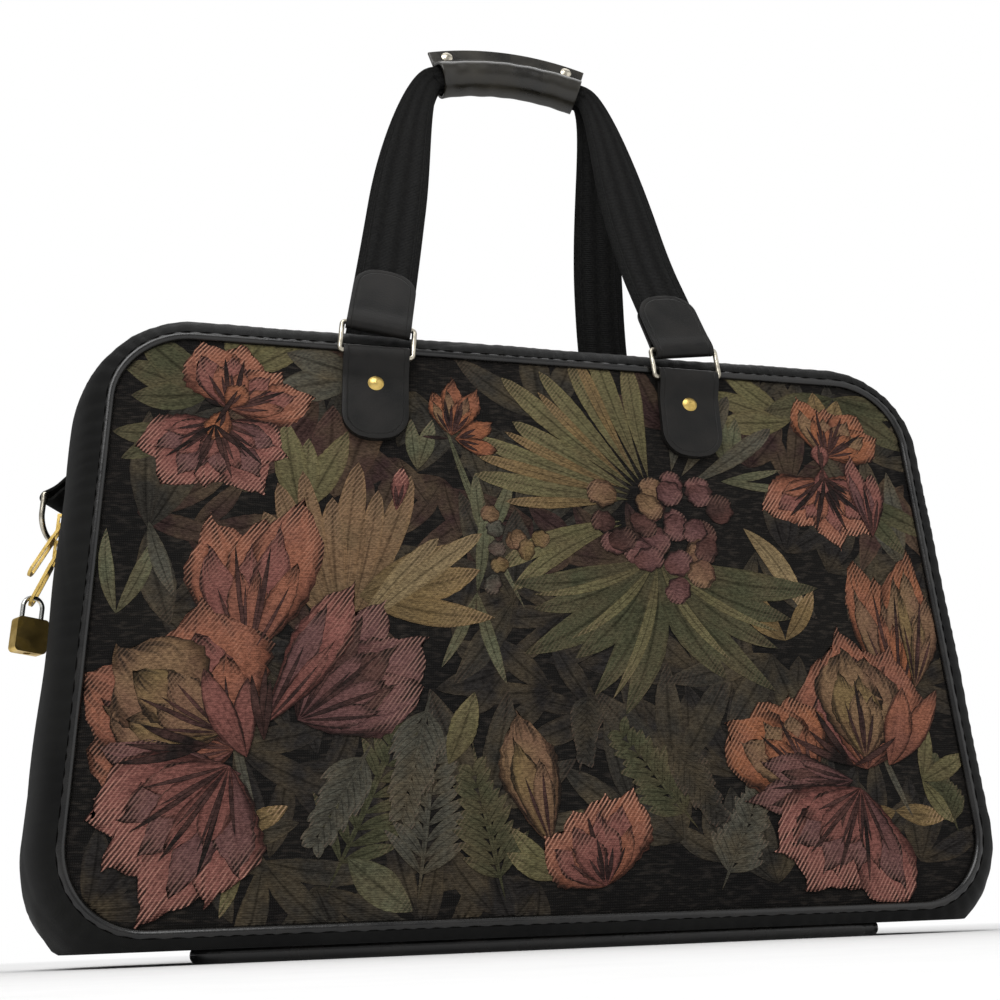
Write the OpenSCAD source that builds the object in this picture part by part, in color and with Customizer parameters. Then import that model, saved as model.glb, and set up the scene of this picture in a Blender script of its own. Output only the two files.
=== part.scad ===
// Carpet bag standing on its base pad, handles up, front towards -Y, millimetres.

/* [Body] */
// Width between the piping lines at the two sides
panel_w = 480; // [380:5:560]
// Height between the bottom and top piping lines
panel_h = 314; // [240:2:380]
// Depth between the front and back piping lines
body_depth = 130; // [90:2:200]
// Corner radius of the piping line
corner_r = 42; // [25:1:70]
// How far the gusset stands out past the piping line
gusset_bulge = 24; // [8:1:34]
// Gusset cloth with its lining
gusset_wall = 2.4; // [1.5:0.1:4]
// Padded tapestry panel
panel_t = 5; // [3:0.5:9]
// Piping cord in its cover
piping_d = 5; // [3:0.2:8]
// Depth of the piping's seam flange
flange_d = 8; // [4:0.5:12]

/* [Tapestry] */
// Height of the woven fields above the ground cloth
weave_t = 0.5; // [0.3:0.1:1]

/* [Base] */
// Length of the pad under the base
pad_w = 360; // [250:5:440]
// Depth of the pad under the base
pad_d = 118; // [70:2:180]
// Height of the pad under the base
pad_h = 8.5; // [5:0.5:14]
// Height of the bottom piping line over the pad
pad_drop = 5; // [3:0.5:9]
// Thickness of the stiffening board inside
board_t = 3; // [2:0.5:5]

/* [Zip] */
// Depth position of the zip, from the middle of the bag
zip_y = -8; // [-40:1:40]
// Opening between the two gusset bands
zip_gap = 22; // [16:1:30]
// Height of the zip's two lower ends
zip_end_z = 64; // [58:1:110]
// Width of the closed chain
chain_w = 8; // [5:0.5:10]
// Height of the chain over its tape
chain_t = 2.2; // [1.4:0.1:3]
// Spacing of the teeth
tooth_pitch = 4; // [3:0.5:6]
// Height of the upper slider's middle
slider_up_z = 233; // [140:1:270]
// Distance between the two sliders' middles
slider_step = 16; // [15:0.5:24]
// Length of a pull below its pivot
pull_l = 33; // [26:1:44]

/* [Padlock] */
// Width of the padlock's body
lock_w = 18; // [14:1:26]
// Height of the padlock's body
lock_h = 19; // [14:1:28]
// Thickness of the padlock's body
lock_t = 7; // [5:0.5:10]
// Shackle wire
shackle_d = 2.5; // [2:0.1:3.5]
// Turn of the padlock's face from the side of the bag
lock_turn = 36; // [26:1:44]

/* [Handles] */
// Distance of each handle leg from the middle
handle_x = 96; // [70:1:130]
// Webbing width
strap_w = 38; // [25:1:45]
// Webbing thickness
strap_t = 2.2; // [1.5:0.1:3]
// Leather of the tabs
leather_t = 2; // [1.4:0.1:3]
// Ring wire
ring_wire = 3; // [2.4:0.2:4]
// Height between a rectangular ring's two bars
ring_rise = 19; // [15:1:26]
// Length of a lower tab below its ring
lower_tab_l = 53; // [40:1:70]
// Length of an upper tab above its ring
upper_tab_l = 46; // [35:1:60]
// Rivet cap
rivet_d = 9.3; // [7:0.1:12]
// Height of the grip's middle
grip_z = 606; // [480:2:660]
// Length of the grip wrap
grip_l = 106; // [90:2:140]
// Radius of the grip's arch
grip_arch_r = 176; // [120:2:300]
// Radius of the grip's rounded part
grip_r = 13; // [11:0.5:18]
// Sideways lean of the soft handles
grip_x = 10; // [-20:1:20]

/* [Side rings] */
// Depth position of the side loops
loop_y = 26; // [0:1:45]
// Drop of a side loop's ring bar below the top piping line
loop_drop = 69.5; // [50:0.5:140]
// Width of a side loop
loop_w = 25; // [18:1:32]
// Turn of the side loops towards the front
loop_turn = 25; // [0:1:35]
// D-ring wire
d_wire = 3.2; // [2.5:0.1:4.5]

/* [Hidden] */
$fn = 48;
half_d = body_depth / 2;
half_w = panel_w / 2;
front_y = -half_d;
rim_z0 = pad_h + pad_drop;
rim_z1 = rim_z0 + panel_h;
corner_x = half_w - corner_r;
corner_z0 = rim_z0 + corner_r;
corner_z1 = rim_z1 - corner_r;
// Free play between sewn pieces, and between metal pieces that move
seam_fit = 0.1;
moving_fit = 0.3;
seam_gap = piping_d / 2 + 0.2;
seam_turn = asin(seam_gap / gusset_bulge);
tape_t = 1.2;
tape_under = 4;
tape_edge = 3;
patch_down = 12;
patch_up = 6;
patch_half = 13;
patch_t = 1.5;
tape_top = -gusset_wall - seam_fit;
chain_top = tape_top + chain_t;
zip_b = gusset_bulge * sqrt(1 - pow(zip_y / half_d, 2));
zip_x = half_w + zip_b;
zip_tilt = atan2(-zip_y * gusset_bulge / half_d, half_d * zip_b / gusset_bulge);
slider_plate = chain_top + moving_fit;
plate_t = 1.5;
bridge_rise = 2.8;
bridge_t = 1.4;
pull_axis_x = slider_plate + plate_t + bridge_rise / 2;
pull_axis_drop = 2.3;
pull_t = 1.6;
pull_w = 9;
slot_w = 6.4;
slot_r = 1.4;
slot_top = 13;
slot_end = pull_l - 2.5;
pull_up_lean = 25;
pull_low_lean = 20;
slider_low_z = slider_up_z - slider_step;
pull_up_z = slider_up_z - pull_axis_drop;
pull_low_z = slider_low_z - pull_axis_drop;
shackle_play = 1.15;
shackle_seat = slot_end - shackle_d / 2 - shackle_play;
shackle_x = pull_axis_x + shackle_seat * sin(pull_low_lean);
shackle_z = pull_low_z - shackle_seat * cos(pull_low_lean);
shackle_r = 5.5;
shackle_leg = 6.5;
lock_top = shackle_z - shackle_r - shackle_leg;
ring_y = front_y - 5.4;
ring_z0 = rim_z1 - 6;
// Tilt of the rings, and of the straps with their tabs, towards the grip
ring_tilt = 4;
strap_tilt = 8;
top_bar_x = handle_x - ring_rise * sin(ring_tilt);
top_bar_z = ring_z0 + ring_rise * cos(ring_tilt);
ring_in_w = strap_w + 1.5;
loop_in = ring_wire / 2 + 0.15;
loop_out = loop_in + leather_t;
loop_play = strap_w / 2 * tan(strap_tilt - ring_tilt) + 0.1;
rivet_z = ring_z0 - 18;
rivet_stem = 1.5;
rivet_rise = 1.8;
rivet_round = 7;
washer_r = 4;
washer_t = 1.2;
fold_t = 2 * strap_t;
fold_w = 19;
fold_y = fold_t / 2 + 0.4;
grip_turn = asin(grip_l / 2 / grip_arch_r);
grip_axis_z = grip_z - grip_arch_r;
grip_end_z = grip_axis_z + grip_arch_r * cos(grip_turn);
strap_lean = atan2(-ring_y - fold_y, grip_end_z - 18 - top_bar_z);
// The upper loops also clear the ring's bar across their own lean
upper_in = loop_in + strap_w / 2 * tan(strap_tilt - ring_tilt) * sin(strap_lean);
upper_out = upper_in + leather_t;
strap_start = upper_in + loop_play + leather_t;
front_leaf = 16;
back_leaf = 27;
leaf_t = 2;
snap_stem = 1.4;
snap_rise = 1.4;
snap_round = 8;
snap_r = 4.2;
snap_h = front_leaf + snap_r + 0.4;
loop_b = gusset_bulge * sqrt(1 - pow(loop_y / half_d, 2));
loop_reach = 14;
loop_x = half_w + loop_b + loop_reach;
loop_z = rim_z1 - loop_drop;
loop_bore = d_wire / 2 + 0.2;
d_in_w = 26;
d_drop = 11;
motif_cx = 0;
motif_cz = rim_z0 + panel_h / 2;

// Gusset profile as [outward, depth] points: an ellipse from the front seam to the back seam
function turn_at(y) = acos(-y / half_d);
function rim_point(t, off) =
  let (nb = half_d * sin(t), ny = -gusset_bulge * cos(t), n = norm([nb, ny]))
  [gusset_bulge * sin(t) + off * nb / n, -half_d * cos(t) + off * ny / n];
function rim_curve(t0, t1, off, n) = [for (i = [0 : n]) rim_point(t0 + (t1 - t0) * i / n, off)];
function reversed(p) = [for (i = [len(p) - 1 : -1 : 0]) p[i]];

module band(t0, t1, off0, off1, n) {
  polygon(concat(rim_curve(t0, t1, off1, n), reversed(rim_curve(t0, t1, off0, n))));
}

// Runs of a gusset profile around the bag
module right_run(z0, z1) {
  translate([half_w, 0, z0])
    linear_extrude(z1 - z0) children();
}

module top_run() {
  translate([corner_x, 0, rim_z1])
    rotate([0, -90, 0])
      linear_extrude(2 * corner_x) children();
}

module bottom_run() {
  translate([-corner_x, 0, rim_z0])
    rotate([0, 90, 0])
      linear_extrude(2 * corner_x) children();
}

module top_right_corner(a0, a1) {
  translate([corner_x, 0, corner_z1])
    rotate([-90, 0, 0])
      rotate([0, 0, -a1])
        rotate_extrude(angle = a1 - a0)
          translate([corner_r, 0]) children();
}

module bottom_right_corner() {
  translate([corner_x, 0, corner_z0])
    rotate([-90, 0, 0])
      rotate_extrude(angle = 90)
        translate([corner_r, 0]) children();
}

module both_sides() {
  children();
  mirror([1, 0, 0]) children();
}

module both_faces() {
  children();
  mirror([0, 1, 0]) children();
}

module over_the_top(z0) {
  both_sides() {
    right_run(z0, corner_z1) children();
    top_right_corner(0, 90) children();
  }
  top_run() children();
}

module under_the_base(z1) {
  both_sides() {
    right_run(corner_z0, z1) children();
    bottom_right_corner() children();
  }
  bottom_run() children();
}

module all_round() {
  both_sides() {
    right_run(corner_z0, corner_z1) children();
    top_right_corner(0, 90) children();
    bottom_right_corner() children();
  }
  top_run() children();
  bottom_run() children();
}

module rounded_rect(w, h, r) {
  square([w - 2 * r, h], center = true);
  square([w, h - 2 * r], center = true);
  for (sx = [-1, 1], sy = [-1, 1])
    translate([sx * (w / 2 - r), sy * (h / 2 - r)]) circle(r);
}

// Upright plate drawn in X and Z, from y0 back to y1
module upright(y0, y1) {
  translate([0, y1, 0])
    rotate([90, 0, 0])
      linear_extrude(y1 - y0) children();
}

// Bar drawn in Y and Z, from x0 to x1
module crosswise(x0, x1) {
  translate([x0, 0, 0])
    rotate([90, 0, 90])
      linear_extrude(x1 - x0) children();
}

// Panels
module panel_outline() {
  translate([0, motif_cz])
    rounded_rect(panel_w - 2 * seam_gap, panel_h - 2 * seam_gap, corner_r - seam_gap);
}

module rivet_holes() {
  for (sx = [-1, 1])
    translate([sx * handle_x, rivet_z]) circle(rivet_stem + seam_fit);
}

module front_panel() {
  color("#1a1817")
    upright(front_y, front_y + panel_t)
      difference() {
        panel_outline();
        rivet_holes();
      }
}

module back_panel() {
  color("#1a1817")
    upright(half_d - panel_t, half_d)
      difference() {
        panel_outline();
        rivet_holes();
      }
}

// Woven fields: a leaf is what two equal circles share
module leaf(x, z, length, width, turn) {
  r = (length * length + width * width) / (4 * width);
  translate([x, motif_cz + z])
    rotate(turn)
      intersection() {
        translate([0, r - width / 2]) circle(r, $fn = 240);
        translate([0, width / 2 - r]) circle(r, $fn = 240);
      }
}

// Petals and leaves as [x, z, length, width, turn], z from the middle of the panel
PETALS = [
  [-187, 88, 58, 25, 62], [-158, 92, 52, 24, 118], [-178, 52, 54, 26, 95], [-202, 66, 40, 18, 25],
  [178, 74, 56, 25, 70], [206, 76, 46, 22, 118], [190, 40, 54, 26, 88], [166, 50, 38, 18, 150],
  [-190, -28, 88, 44, 68], [-158, -18, 84, 40, 108], [-218, -40, 62, 26, 40], [-170, 34, 52, 22, 82],
  [-195, -118, 74, 34, 12], [-150, -106, 54, 22, 158], [-118, -34, 76, 32, 58], [-92, -52, 58, 22, 28],
  [182, -52, 88, 44, 75], [212, -44, 72, 34, 112], [150, -64, 62, 28, 38], [204, 2, 50, 22, 98],
  [176, -120, 76, 34, 8], [216, -112, 46, 22, 150], [18, -68, 62, 36, 84], [58, -108, 66, 32, 26],
  [34, -126, 48, 22, 165], [-48, 98, 34, 15, 60], [88, 66, 28, 26, 0], [72, 48, 26, 24, 40],
  [102, 46, 26, 24, 80], [86, 32, 26, 24, 120]
];

LEAVES = [
  [-216, 110, 46, 15, 140], [-122, 112, 50, 15, 30], [-214, 26, 48, 15, 60], [-132, 60, 52, 15, 140],
  [-112, 84, 44, 13, 165], [-86, 56, 88, 13, 98], [-70, 44, 84, 12, 78], [-102, 42, 78, 12, 116],
  [-54, 20, 74, 12, 58], [44, 92, 64, 13, 128], [60, 102, 60, 13, 100], [124, 100, 58, 13, 52],
  [138, 74, 56, 13, 20], [36, 58, 66, 13, 160], [24, 30, 72, 13, 20], [46, 0, 70, 14, 48],
  [78, -12, 78, 15, 72], [112, -4, 74, 15, 104], [138, 18, 62, 13, 142], [-6, 66, 40, 11, 110],
  [6, -2, 52, 12, 150], [-18, -22, 66, 13, 118], [-46, -36, 60, 12, 62], [-62, -88, 78, 12, 58],
  [-88, -112, 74, 12, 30], [-44, -118, 70, 12, 86], [-22, -104, 62, 12, 112], [-120, -92, 56, 13, 100],
  [-222, -82, 44, 14, 70], [98, -66, 62, 13, 60], [112, -96, 68, 13, 92], [128, -128, 48, 12, 30],
  [226, -82, 46, 14, 100], [150, 112, 50, 13, 160], [222, 112, 40, 14, 40], [226, 24, 48, 14, 80],
  [92, -132, 52, 11, 170], [-6, -136, 46, 10, 8], [-232, -8, 34, 11, 95], [-28, 112, 46, 12, 12]
];

module tab_outline(extra) {
  for (sx = [-1, 1])
    translate([sx * handle_x, ring_z0])
      tab_shape(strap_w + 2 * extra, lower_tab_l + extra);
}

module woven(list) {
  intersection() {
    translate([0, motif_cz])
      rounded_rect(panel_w - 2 * seam_gap - 4, panel_h - 2 * seam_gap - 4, corner_r - seam_gap - 2);
    for (m = list)
      leaf(m[0], m[1], m[2], m[3], m[4]);
  }
}

module tapestry_flowers() {
  color("#93604f")
    both_faces()
      upright(front_y - weave_t, front_y)
        difference() {
          woven(PETALS);
          tab_outline(0.4);
        }
}

module tapestry_leaves() {
  color("#7c7a58")
    both_faces()
      upright(front_y - weave_t, front_y)
        difference() {
          woven(LEAVES);
          woven(PETALS);
          tab_outline(0.4);
        }
}

// Piping and gusset
module piping_profile(y0) {
  translate([0, y0]) circle(piping_d / 2);
  translate([-1.1, y0 < 0 ? y0 : y0 - flange_d]) square([2.2, flange_d]);
}

module front_piping() {
  color("#141414") all_round() piping_profile(front_y);
}

module back_piping() {
  color("#141414") all_round() piping_profile(half_d);
}

module front_gusset() {
  color("#191919")
    over_the_top(zip_end_z)
      band(seam_turn, turn_at(zip_y - zip_gap / 2), -gusset_wall, 0, 8);
}

module back_gusset() {
  color("#191919")
    over_the_top(zip_end_z)
      band(turn_at(zip_y + zip_gap / 2), 180 - seam_turn, -gusset_wall, 0, 10);
}

// The base is the same bulged band, pressed flat where the bag stands
module base_gusset() {
  color("#191919") {
    difference() {
      under_the_base(zip_end_z)
        band(seam_turn, 180 - seam_turn, -gusset_wall, 0, 20);
      translate([-panel_w, -body_depth, pad_h - 100])
        cube([2 * panel_w, 2 * body_depth, 100]);
    }
    intersection() {
      under_the_base(corner_z0 + 1)
        polygon(rim_curve(asin(2 / gusset_bulge), 180 - asin(2 / gusset_bulge), 0, 20));
      translate([-panel_w, -body_depth, pad_h])
        cube([2 * panel_w, 2 * body_depth, gusset_wall]);
    }
  }
}

// Slab with rolled edges: flat middle, half-round rim
module rolled_slab(w, d, h, r) {
  cw = w / 2 - r;
  cd = d / 2 - r;
  translate([0, 0, -h / 2])
    linear_extrude(h)
      rounded_rect(w - h, d - h, r - h / 2);
  for (sx = [-1, 1])
    translate([sx * (w / 2 - h / 2), 0, 0])
      rotate([90, 0, 0]) cylinder(d = h, h = 2 * cd, center = true);
  for (sy = [-1, 1])
    translate([0, sy * (d / 2 - h / 2), 0])
      rotate([0, 90, 0]) cylinder(d = h, h = 2 * cw, center = true);
  for (sx = [0, 1], sy = [0, 1])
    mirror([sx, 0, 0])
      mirror([0, sy, 0])
        translate([cw, cd, 0])
          rotate_extrude(angle = 90)
            translate([r - h / 2, 0])
              circle(d = h);
}

module base_pad() {
  color("#171717")
    translate([0, 0, pad_h / 2])
      rolled_slab(pad_w, pad_d, pad_h, 16);
}

module base_board() {
  color("#4a4138")
    translate([0, 0, pad_h + gusset_wall])
      linear_extrude(board_t)
        rounded_rect(2 * corner_x, body_depth - 2 * flange_d - 6, 12);
}

// Zip
module zip_tape_front() {
  color("#101010")
    over_the_top(zip_end_z - 6)
      band(turn_at(zip_y - zip_gap / 2 - tape_under), turn_at(zip_y - tape_edge), tape_top - tape_t, tape_top, 5);
}

module zip_tape_back() {
  color("#101010")
    over_the_top(zip_end_z - 6)
      band(turn_at(zip_y + tape_edge), turn_at(zip_y + zip_gap / 2 + tape_under), tape_top - tape_t, tape_top, 5);
}

module tooth_profile(shift) {
  band(
    turn_at(zip_y + shift - chain_w / 2), turn_at(zip_y + shift + chain_w / 2),
    tape_top + 0.04, chain_top, 1
  );
}

module zip_teeth() {
  thick = tooth_pitch * 0.62;
  side_n = floor((corner_z1 - zip_end_z - 8) / tooth_pitch);
  top_n = floor(2 * corner_x / tooth_pitch);
  turn_n = floor(corner_r * 90 * PI / 180 / tooth_pitch) + 8;
  turn_step = 90 / turn_n;
  turn_thick = thick / (corner_r + zip_b) * 180 / PI;
  color("#1d1b18") {
    both_sides() {
      for (i = [0 : side_n - 1])
        right_run(corner_z1 - (i + 0.5) * tooth_pitch - thick / 2, corner_z1 - (i + 0.5) * tooth_pitch + thick / 2)
          tooth_profile(i % 2 == 0 ? 0.5 : -0.5);
      for (i = [0 : turn_n - 1])
        top_right_corner((i + 0.5) * turn_step - turn_thick / 2, (i + 0.5) * turn_step + turn_thick / 2)
          tooth_profile(i % 2 == 0 ? -0.5 : 0.5);
    }
    for (i = [0 : top_n - 1])
      translate([-corner_x + (i + 0.5) * tooth_pitch + thick / 2, 0, rim_z1])
        rotate([0, -90, 0])
          linear_extrude(thick)
            tooth_profile(i % 2 == 0 ? 0.5 : -0.5);
  }
}

module zip_end_patches() {
  color("#121212")
    both_sides()
      right_run(zip_end_z - patch_down, zip_end_z + patch_up)
        band(turn_at(zip_y - patch_half), turn_at(zip_y + patch_half), 0.05, patch_t, 6);
}

// Local frame of the zip on the left side: X outward from the gusset's face, Y across, Z up
module at_zip() {
  translate([-zip_x, zip_y, 0])
    rotate([0, 0, 180 + zip_tilt]) children();
}

module slider(z) {
  at_zip()
    translate([0, 0, z]) {
      translate([slider_plate, -6, -7]) cube([plate_t, 12, 14]);
      for (sy = [-1, 1])
        translate([tape_top + moving_fit, sy * 5.45 - 0.55, -7])
          cube([slider_plate - tape_top - moving_fit, 1.1, 14]);
      translate([slider_plate + plate_t, 0, 0])
        rotate([90, 0, 0])
          linear_extrude(2.4, center = true)
            difference() {
              translate([0, -5]) square([bridge_rise + bridge_t, 10]);
              translate([0, -3.4]) square([bridge_rise, 6.8]);
            }
    }
}

module zip_slider_upper() {
  color("#b08d4a") slider(slider_up_z);
}

module zip_slider_lower() {
  color("#b08d4a") slider(slider_low_z);
}

// Pull hanging from its cross bar at the origin, drawn in Y and Z
module pull() {
  crosswise(-pull_t / 2, pull_t / 2)
    difference() {
      union() {
        translate([-pull_w / 2 + 0.9, -9]) square([pull_w - 1.8, 9]);
        translate([-pull_w / 2, -pull_l + pull_w / 2]) square([pull_w, pull_l - pull_w / 2 - 8]);
        translate([0, -pull_l + pull_w / 2]) circle(pull_w / 2);
      }
      translate([-2, -8]) square([4, 9]);
      translate([0, -(slot_end + slot_top) / 2]) rounded_rect(slot_w, slot_end - slot_top, slot_r);
    }
  rotate([90, 0, 0]) cylinder(d = 2, h = pull_w - 1.8, center = true);
}

module zip_pull_upper() {
  color("#b8985a")
    at_zip()
      translate([pull_axis_x, 0, pull_up_z])
        rotate([0, -pull_up_lean, 0]) pull();
}

module zip_pull_lower() {
  color("#b8985a")
    at_zip()
      translate([pull_axis_x, 0, pull_low_z])
        rotate([0, -pull_low_lean, 0]) pull();
}

module at_lock() {
  at_zip()
    translate([shackle_x, 0, 0])
      rotate([0, 0, lock_turn]) children();
}

module padlock_body() {
  color("#a98a42")
    at_lock()
      difference() {
        upright(-lock_t / 2, lock_t / 2)
          translate([0, lock_top - lock_h / 2]) rounded_rect(lock_w, lock_h, 2.5);
        for (sx = [-1, 1])
          translate([sx * shackle_r, 0, lock_top - 9]) cylinder(d = shackle_d + 0.3, h = 10);
        translate([0, 0, lock_top - lock_h - 1]) cylinder(d = 4, h = 3);
      }
}

module padlock_shackle() {
  leg_h = shackle_leg + 8;
  color("#c9c9c6")
    at_lock() {
      for (sx = [-1, 1])
        translate([sx * shackle_r, 0, shackle_z - shackle_r - leg_h]) cylinder(d = shackle_d, h = leg_h);
      translate([0, 0, shackle_z - shackle_r])
        rotate([90, 0, 0])
          rotate_extrude(angle = 180)
            translate([shackle_r, 0]) circle(d = shackle_d);
    }
}

// Side loops and D-rings, drawn for the left side: X outward along the turned loop
module at_loop() {
  translate([-loop_x, loop_y, loop_z])
    rotate([0, 0, 180 - loop_turn]) children();
}

// Folded tab from the gusset's face, turning as it comes out to the ring's bar
function tab_section(f) =
  let (
    a = -loop_turn * f,
    out = [-cos(a), sin(a), 0],
    along = [sin(a), cos(a), 0],
    base = [-half_w - loop_b - 2.6, loop_y, loop_z + 19],
    tip = [-loop_x, loop_y, loop_z + 2],
    mid = base + (tip - base) * f,
    dir = (tip - base) / norm(tip - base),
    side = cross(dir, along),
    t = 2
  )
  [
    mid - along * loop_w / 2 - side * t, mid + along * loop_w / 2 - side * t,
    mid + along * loop_w / 2 + side * t, mid - along * loop_w / 2 + side * t
  ];

function tube_faces(rings, n) = concat(
  [[for (k = [0 : n - 1]) k]],
  [for (i = [0 : rings - 2], k = [0 : n - 1]) [i * n + k, (i + 1) * n + k, i * n + (k + 1) % n]],
  [for (i = [0 : rings - 2], k = [0 : n - 1])
    [i * n + (k + 1) % n, (i + 1) * n + k, (i + 1) * n + (k + 1) % n]],
  [[for (k = [n - 1 : -1 : 0]) (rings - 1) * n + k]]
);

module side_loop() {
  steps = 6;
  difference() {
    union() {
      polyhedron([for (i = [0 : steps], p = tab_section(i / steps)) p], tube_faces(steps + 1, 4));
      at_loop()
        rotate([90, 0, 0]) cylinder(r = loop_bore + leather_t, h = loop_w, center = true);
      translate([-half_w, 0, loop_z + 9])
        mirror([1, 0, 0])
          linear_extrude(16)
            band(turn_at(loop_y - 13), turn_at(loop_y + 13), 0.05, 2, 6);
    }
    at_loop()
      rotate([90, 0, 0]) cylinder(r = loop_bore, h = 2 * loop_w, center = true);
  }
}

module d_ring() {
  bow_r = (d_in_w + d_wire) / 2;
  at_loop() {
    rotate([90, 0, 0]) cylinder(d = d_wire, h = 2 * bow_r, center = true);
    for (sy = [-1, 1]) {
      translate([0, sy * bow_r, -d_drop]) cylinder(d = d_wire, h = d_drop);
      translate([0, sy * bow_r, 0]) sphere(d = d_wire);
    }
    translate([0, 0, -d_drop])
      rotate([0, 90, 0])
        rotate([0, 0, -90])
          rotate_extrude(angle = 180)
            translate([bow_r, 0]) circle(d = d_wire);
  }
}

module side_loop_left() {
  color("#161616") side_loop();
}

module side_loop_right() {
  color("#161616") mirror([1, 0, 0]) side_loop();
}

module d_ring_left() {
  color("#8f9090") d_ring();
}

module d_ring_right() {
  color("#8f9090") mirror([1, 0, 0]) d_ring();
}

// Handle tabs, drawn at the front left and mirrored
module at_corner(sx, sy) {
  mirror([sx > 0 ? 1 : 0, 0, 0])
    mirror([0, sy > 0 ? 1 : 0, 0]) children();
}

// Tab outline hanging down from the ring's bar, rounded end below
module tab_shape(w, l) {
  r = w * 0.42;
  translate([-w / 2, -l + r]) square([w, l - r + loop_out + loop_play + 1]);
  translate([-w / 2 + r, -l]) square([w - 2 * r, r + 1]);
  for (sx = [-1, 1])
    translate([sx * (w / 2 - r), -l + r]) circle(r);
}

// Section of a loop around a bar, long enough for the ring to tilt in it
module long_hole(r) {
  translate([-r, -loop_play]) square([2 * r, 2 * loop_play]);
  for (s = [-1, 1])
    translate([0, s * loop_play]) circle(r);
}

module lower_tab(sx, sy) {
  fold = 13;
  color("#1b1a19")
    at_corner(sx, sy)
      difference() {
        intersection() {
          crosswise(-handle_x - strap_w / 2, -handle_x + strap_w / 2)
            difference() {
              union() {
                translate([ring_y, ring_z0]) long_hole(loop_out);
                translate([front_y - 2 * leather_t, ring_z0 - lower_tab_l - 1])
                  square([2 * leather_t, lower_tab_l + 1 - fold]);
                polygon([
                  [front_y - 2 * leather_t + 0.3, ring_z0 - fold - 1], [front_y - 0.05, ring_z0 - fold - 1],
                  [ring_y + 0.97 * loop_out, ring_z0 - 1], [ring_y - 0.97 * loop_out, ring_z0 - 1]
                ]);
              }
              translate([ring_y, ring_z0]) long_hole(loop_in);
            }
          upright(2 * front_y, 0)
            translate([-handle_x, ring_z0]) tab_shape(strap_w, lower_tab_l);
        }
        translate([-handle_x, 0, rivet_z])
          rotate([90, 0, 0]) cylinder(r = rivet_stem + seam_fit, h = 2 * body_depth);
      }
}

module tab_ring(sx, sy) {
  bend = 2.2;
  cw = (ring_in_w + ring_wire) / 2 - bend;
  ch = ring_rise / 2 - bend;
  color("#bdb9ae")
    at_corner(sx, sy)
      translate([-handle_x, ring_y, ring_z0])
        rotate([0, ring_tilt, 0])
          translate([0, 0, ring_rise / 2])
            rotate([90, 0, 0]) {
              for (s = [-1, 1]) {
                translate([0, s * (ch + bend), 0])
                  rotate([0, 90, 0]) cylinder(d = ring_wire, h = 2 * cw, center = true);
                translate([s * (cw + bend), 0, 0])
                  rotate([90, 0, 0]) cylinder(d = ring_wire, h = 2 * ch, center = true);
              }
              for (i = [0 : 3])
                translate([(i == 0 || i == 3 ? 1 : -1) * cw, (i < 2 ? 1 : -1) * ch, 0])
                  rotate([0, 0, 90 * i])
                    rotate_extrude(angle = 90)
                      translate([bend, 0]) circle(d = ring_wire);
            }
}

module upper_tab(sx, sy) {
  slot = strap_t / 2 + seam_fit;
  color("#1b1a19")
    at_corner(sx, sy)
      translate([-top_bar_x, ring_y, top_bar_z])
        rotate([0, strap_tilt, 0])
          rotate([-strap_lean, 0, 0])
            intersection() {
              crosswise(-strap_w / 2, strap_w / 2)
                difference() {
                  union() {
                    long_hole(upper_out);
                    translate([-slot - leather_t, 0])
                      square([2 * (slot + leather_t), upper_tab_l]);
                  }
                  translate([-slot, strap_start - 0.1]) square([2 * slot, upper_tab_l]);
                  long_hole(upper_in);
                }
              upright(-20, 20)
                rotate(180) tab_shape(strap_w, upper_tab_l);
            }
}

module rivet() {
  cap_y = front_y - 2 * leather_t;
  translate([-handle_x, 0, rivet_z]) {
    translate([0, cap_y, 0])
      rotate([90, 0, 0])
        rotate_extrude()
          intersection() {
            translate([0, rivet_rise - rivet_round]) circle(rivet_round);
            square([rivet_d / 2, 2 * rivet_rise]);
          }
    translate([0, front_y + panel_t, 0])
      rotate([90, 0, 0]) cylinder(r = rivet_stem, h = panel_t + 2 * leather_t);
    translate([0, front_y + panel_t + washer_t, 0])
      rotate([90, 0, 0]) cylinder(r = washer_r, h = washer_t);
  }
}

module handle_rivets() {
  color("#b2914e")
    for (sx = [-1, 1], sy = [-1, 1])
      at_corner(sx, sy) rivet();
}

// Straps: straight out of the tab, a curve up to the grip, folded double inside the wrap
function leg_dir(sx, sy) = [
  -sx * cos(strap_lean) * sin(strap_tilt), -sy * sin(strap_lean), cos(strap_lean) * cos(strap_tilt)
];
function leg_point(sx, sy, d) = [sx * top_bar_x, sy * -ring_y, top_bar_z] + d * leg_dir(sx, sy);
function grip_point(a, sy) = [grip_x + grip_arch_r * sin(a), sy * fold_y, grip_axis_z + grip_arch_r * cos(a)];
function grip_dir(a) = [cos(a), 0, -sin(a)];
function mix(a, b, u) = a + (b - a) * u;
function curve(p0, p1, p2, p3, u) =
  p0 * pow(1 - u, 3) + p1 * 3 * u * pow(1 - u, 2) + p2 * 3 * u * u * (1 - u) + p3 * pow(u, 3);
function leg_curve(sx, sy, u) =
  let (
    a = sx * (grip_turn + 1.2),
    from = leg_point(sx, sy, upper_tab_l + 12),
    to = grip_point(a, sy)
  )
  curve(from, from + 75 * leg_dir(sx, sy), to + sx * 18 * grip_dir(a), to, u);
function strap_line(sy) = concat(
  [for (d = [strap_start, 20, upper_tab_l, upper_tab_l + 12]) leg_point(-1, sy, d)],
  [for (i = [1 : 18]) leg_curve(-1, sy, i / 18)],
  [for (i = [-3 : 3]) grip_point(i * grip_turn / 3.4, sy)],
  [for (i = [18 : -1 : 1]) leg_curve(1, sy, i / 18)],
  [for (d = [upper_tab_l + 12, upper_tab_l, 20, strap_start]) leg_point(1, sy, d)]
);
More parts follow.
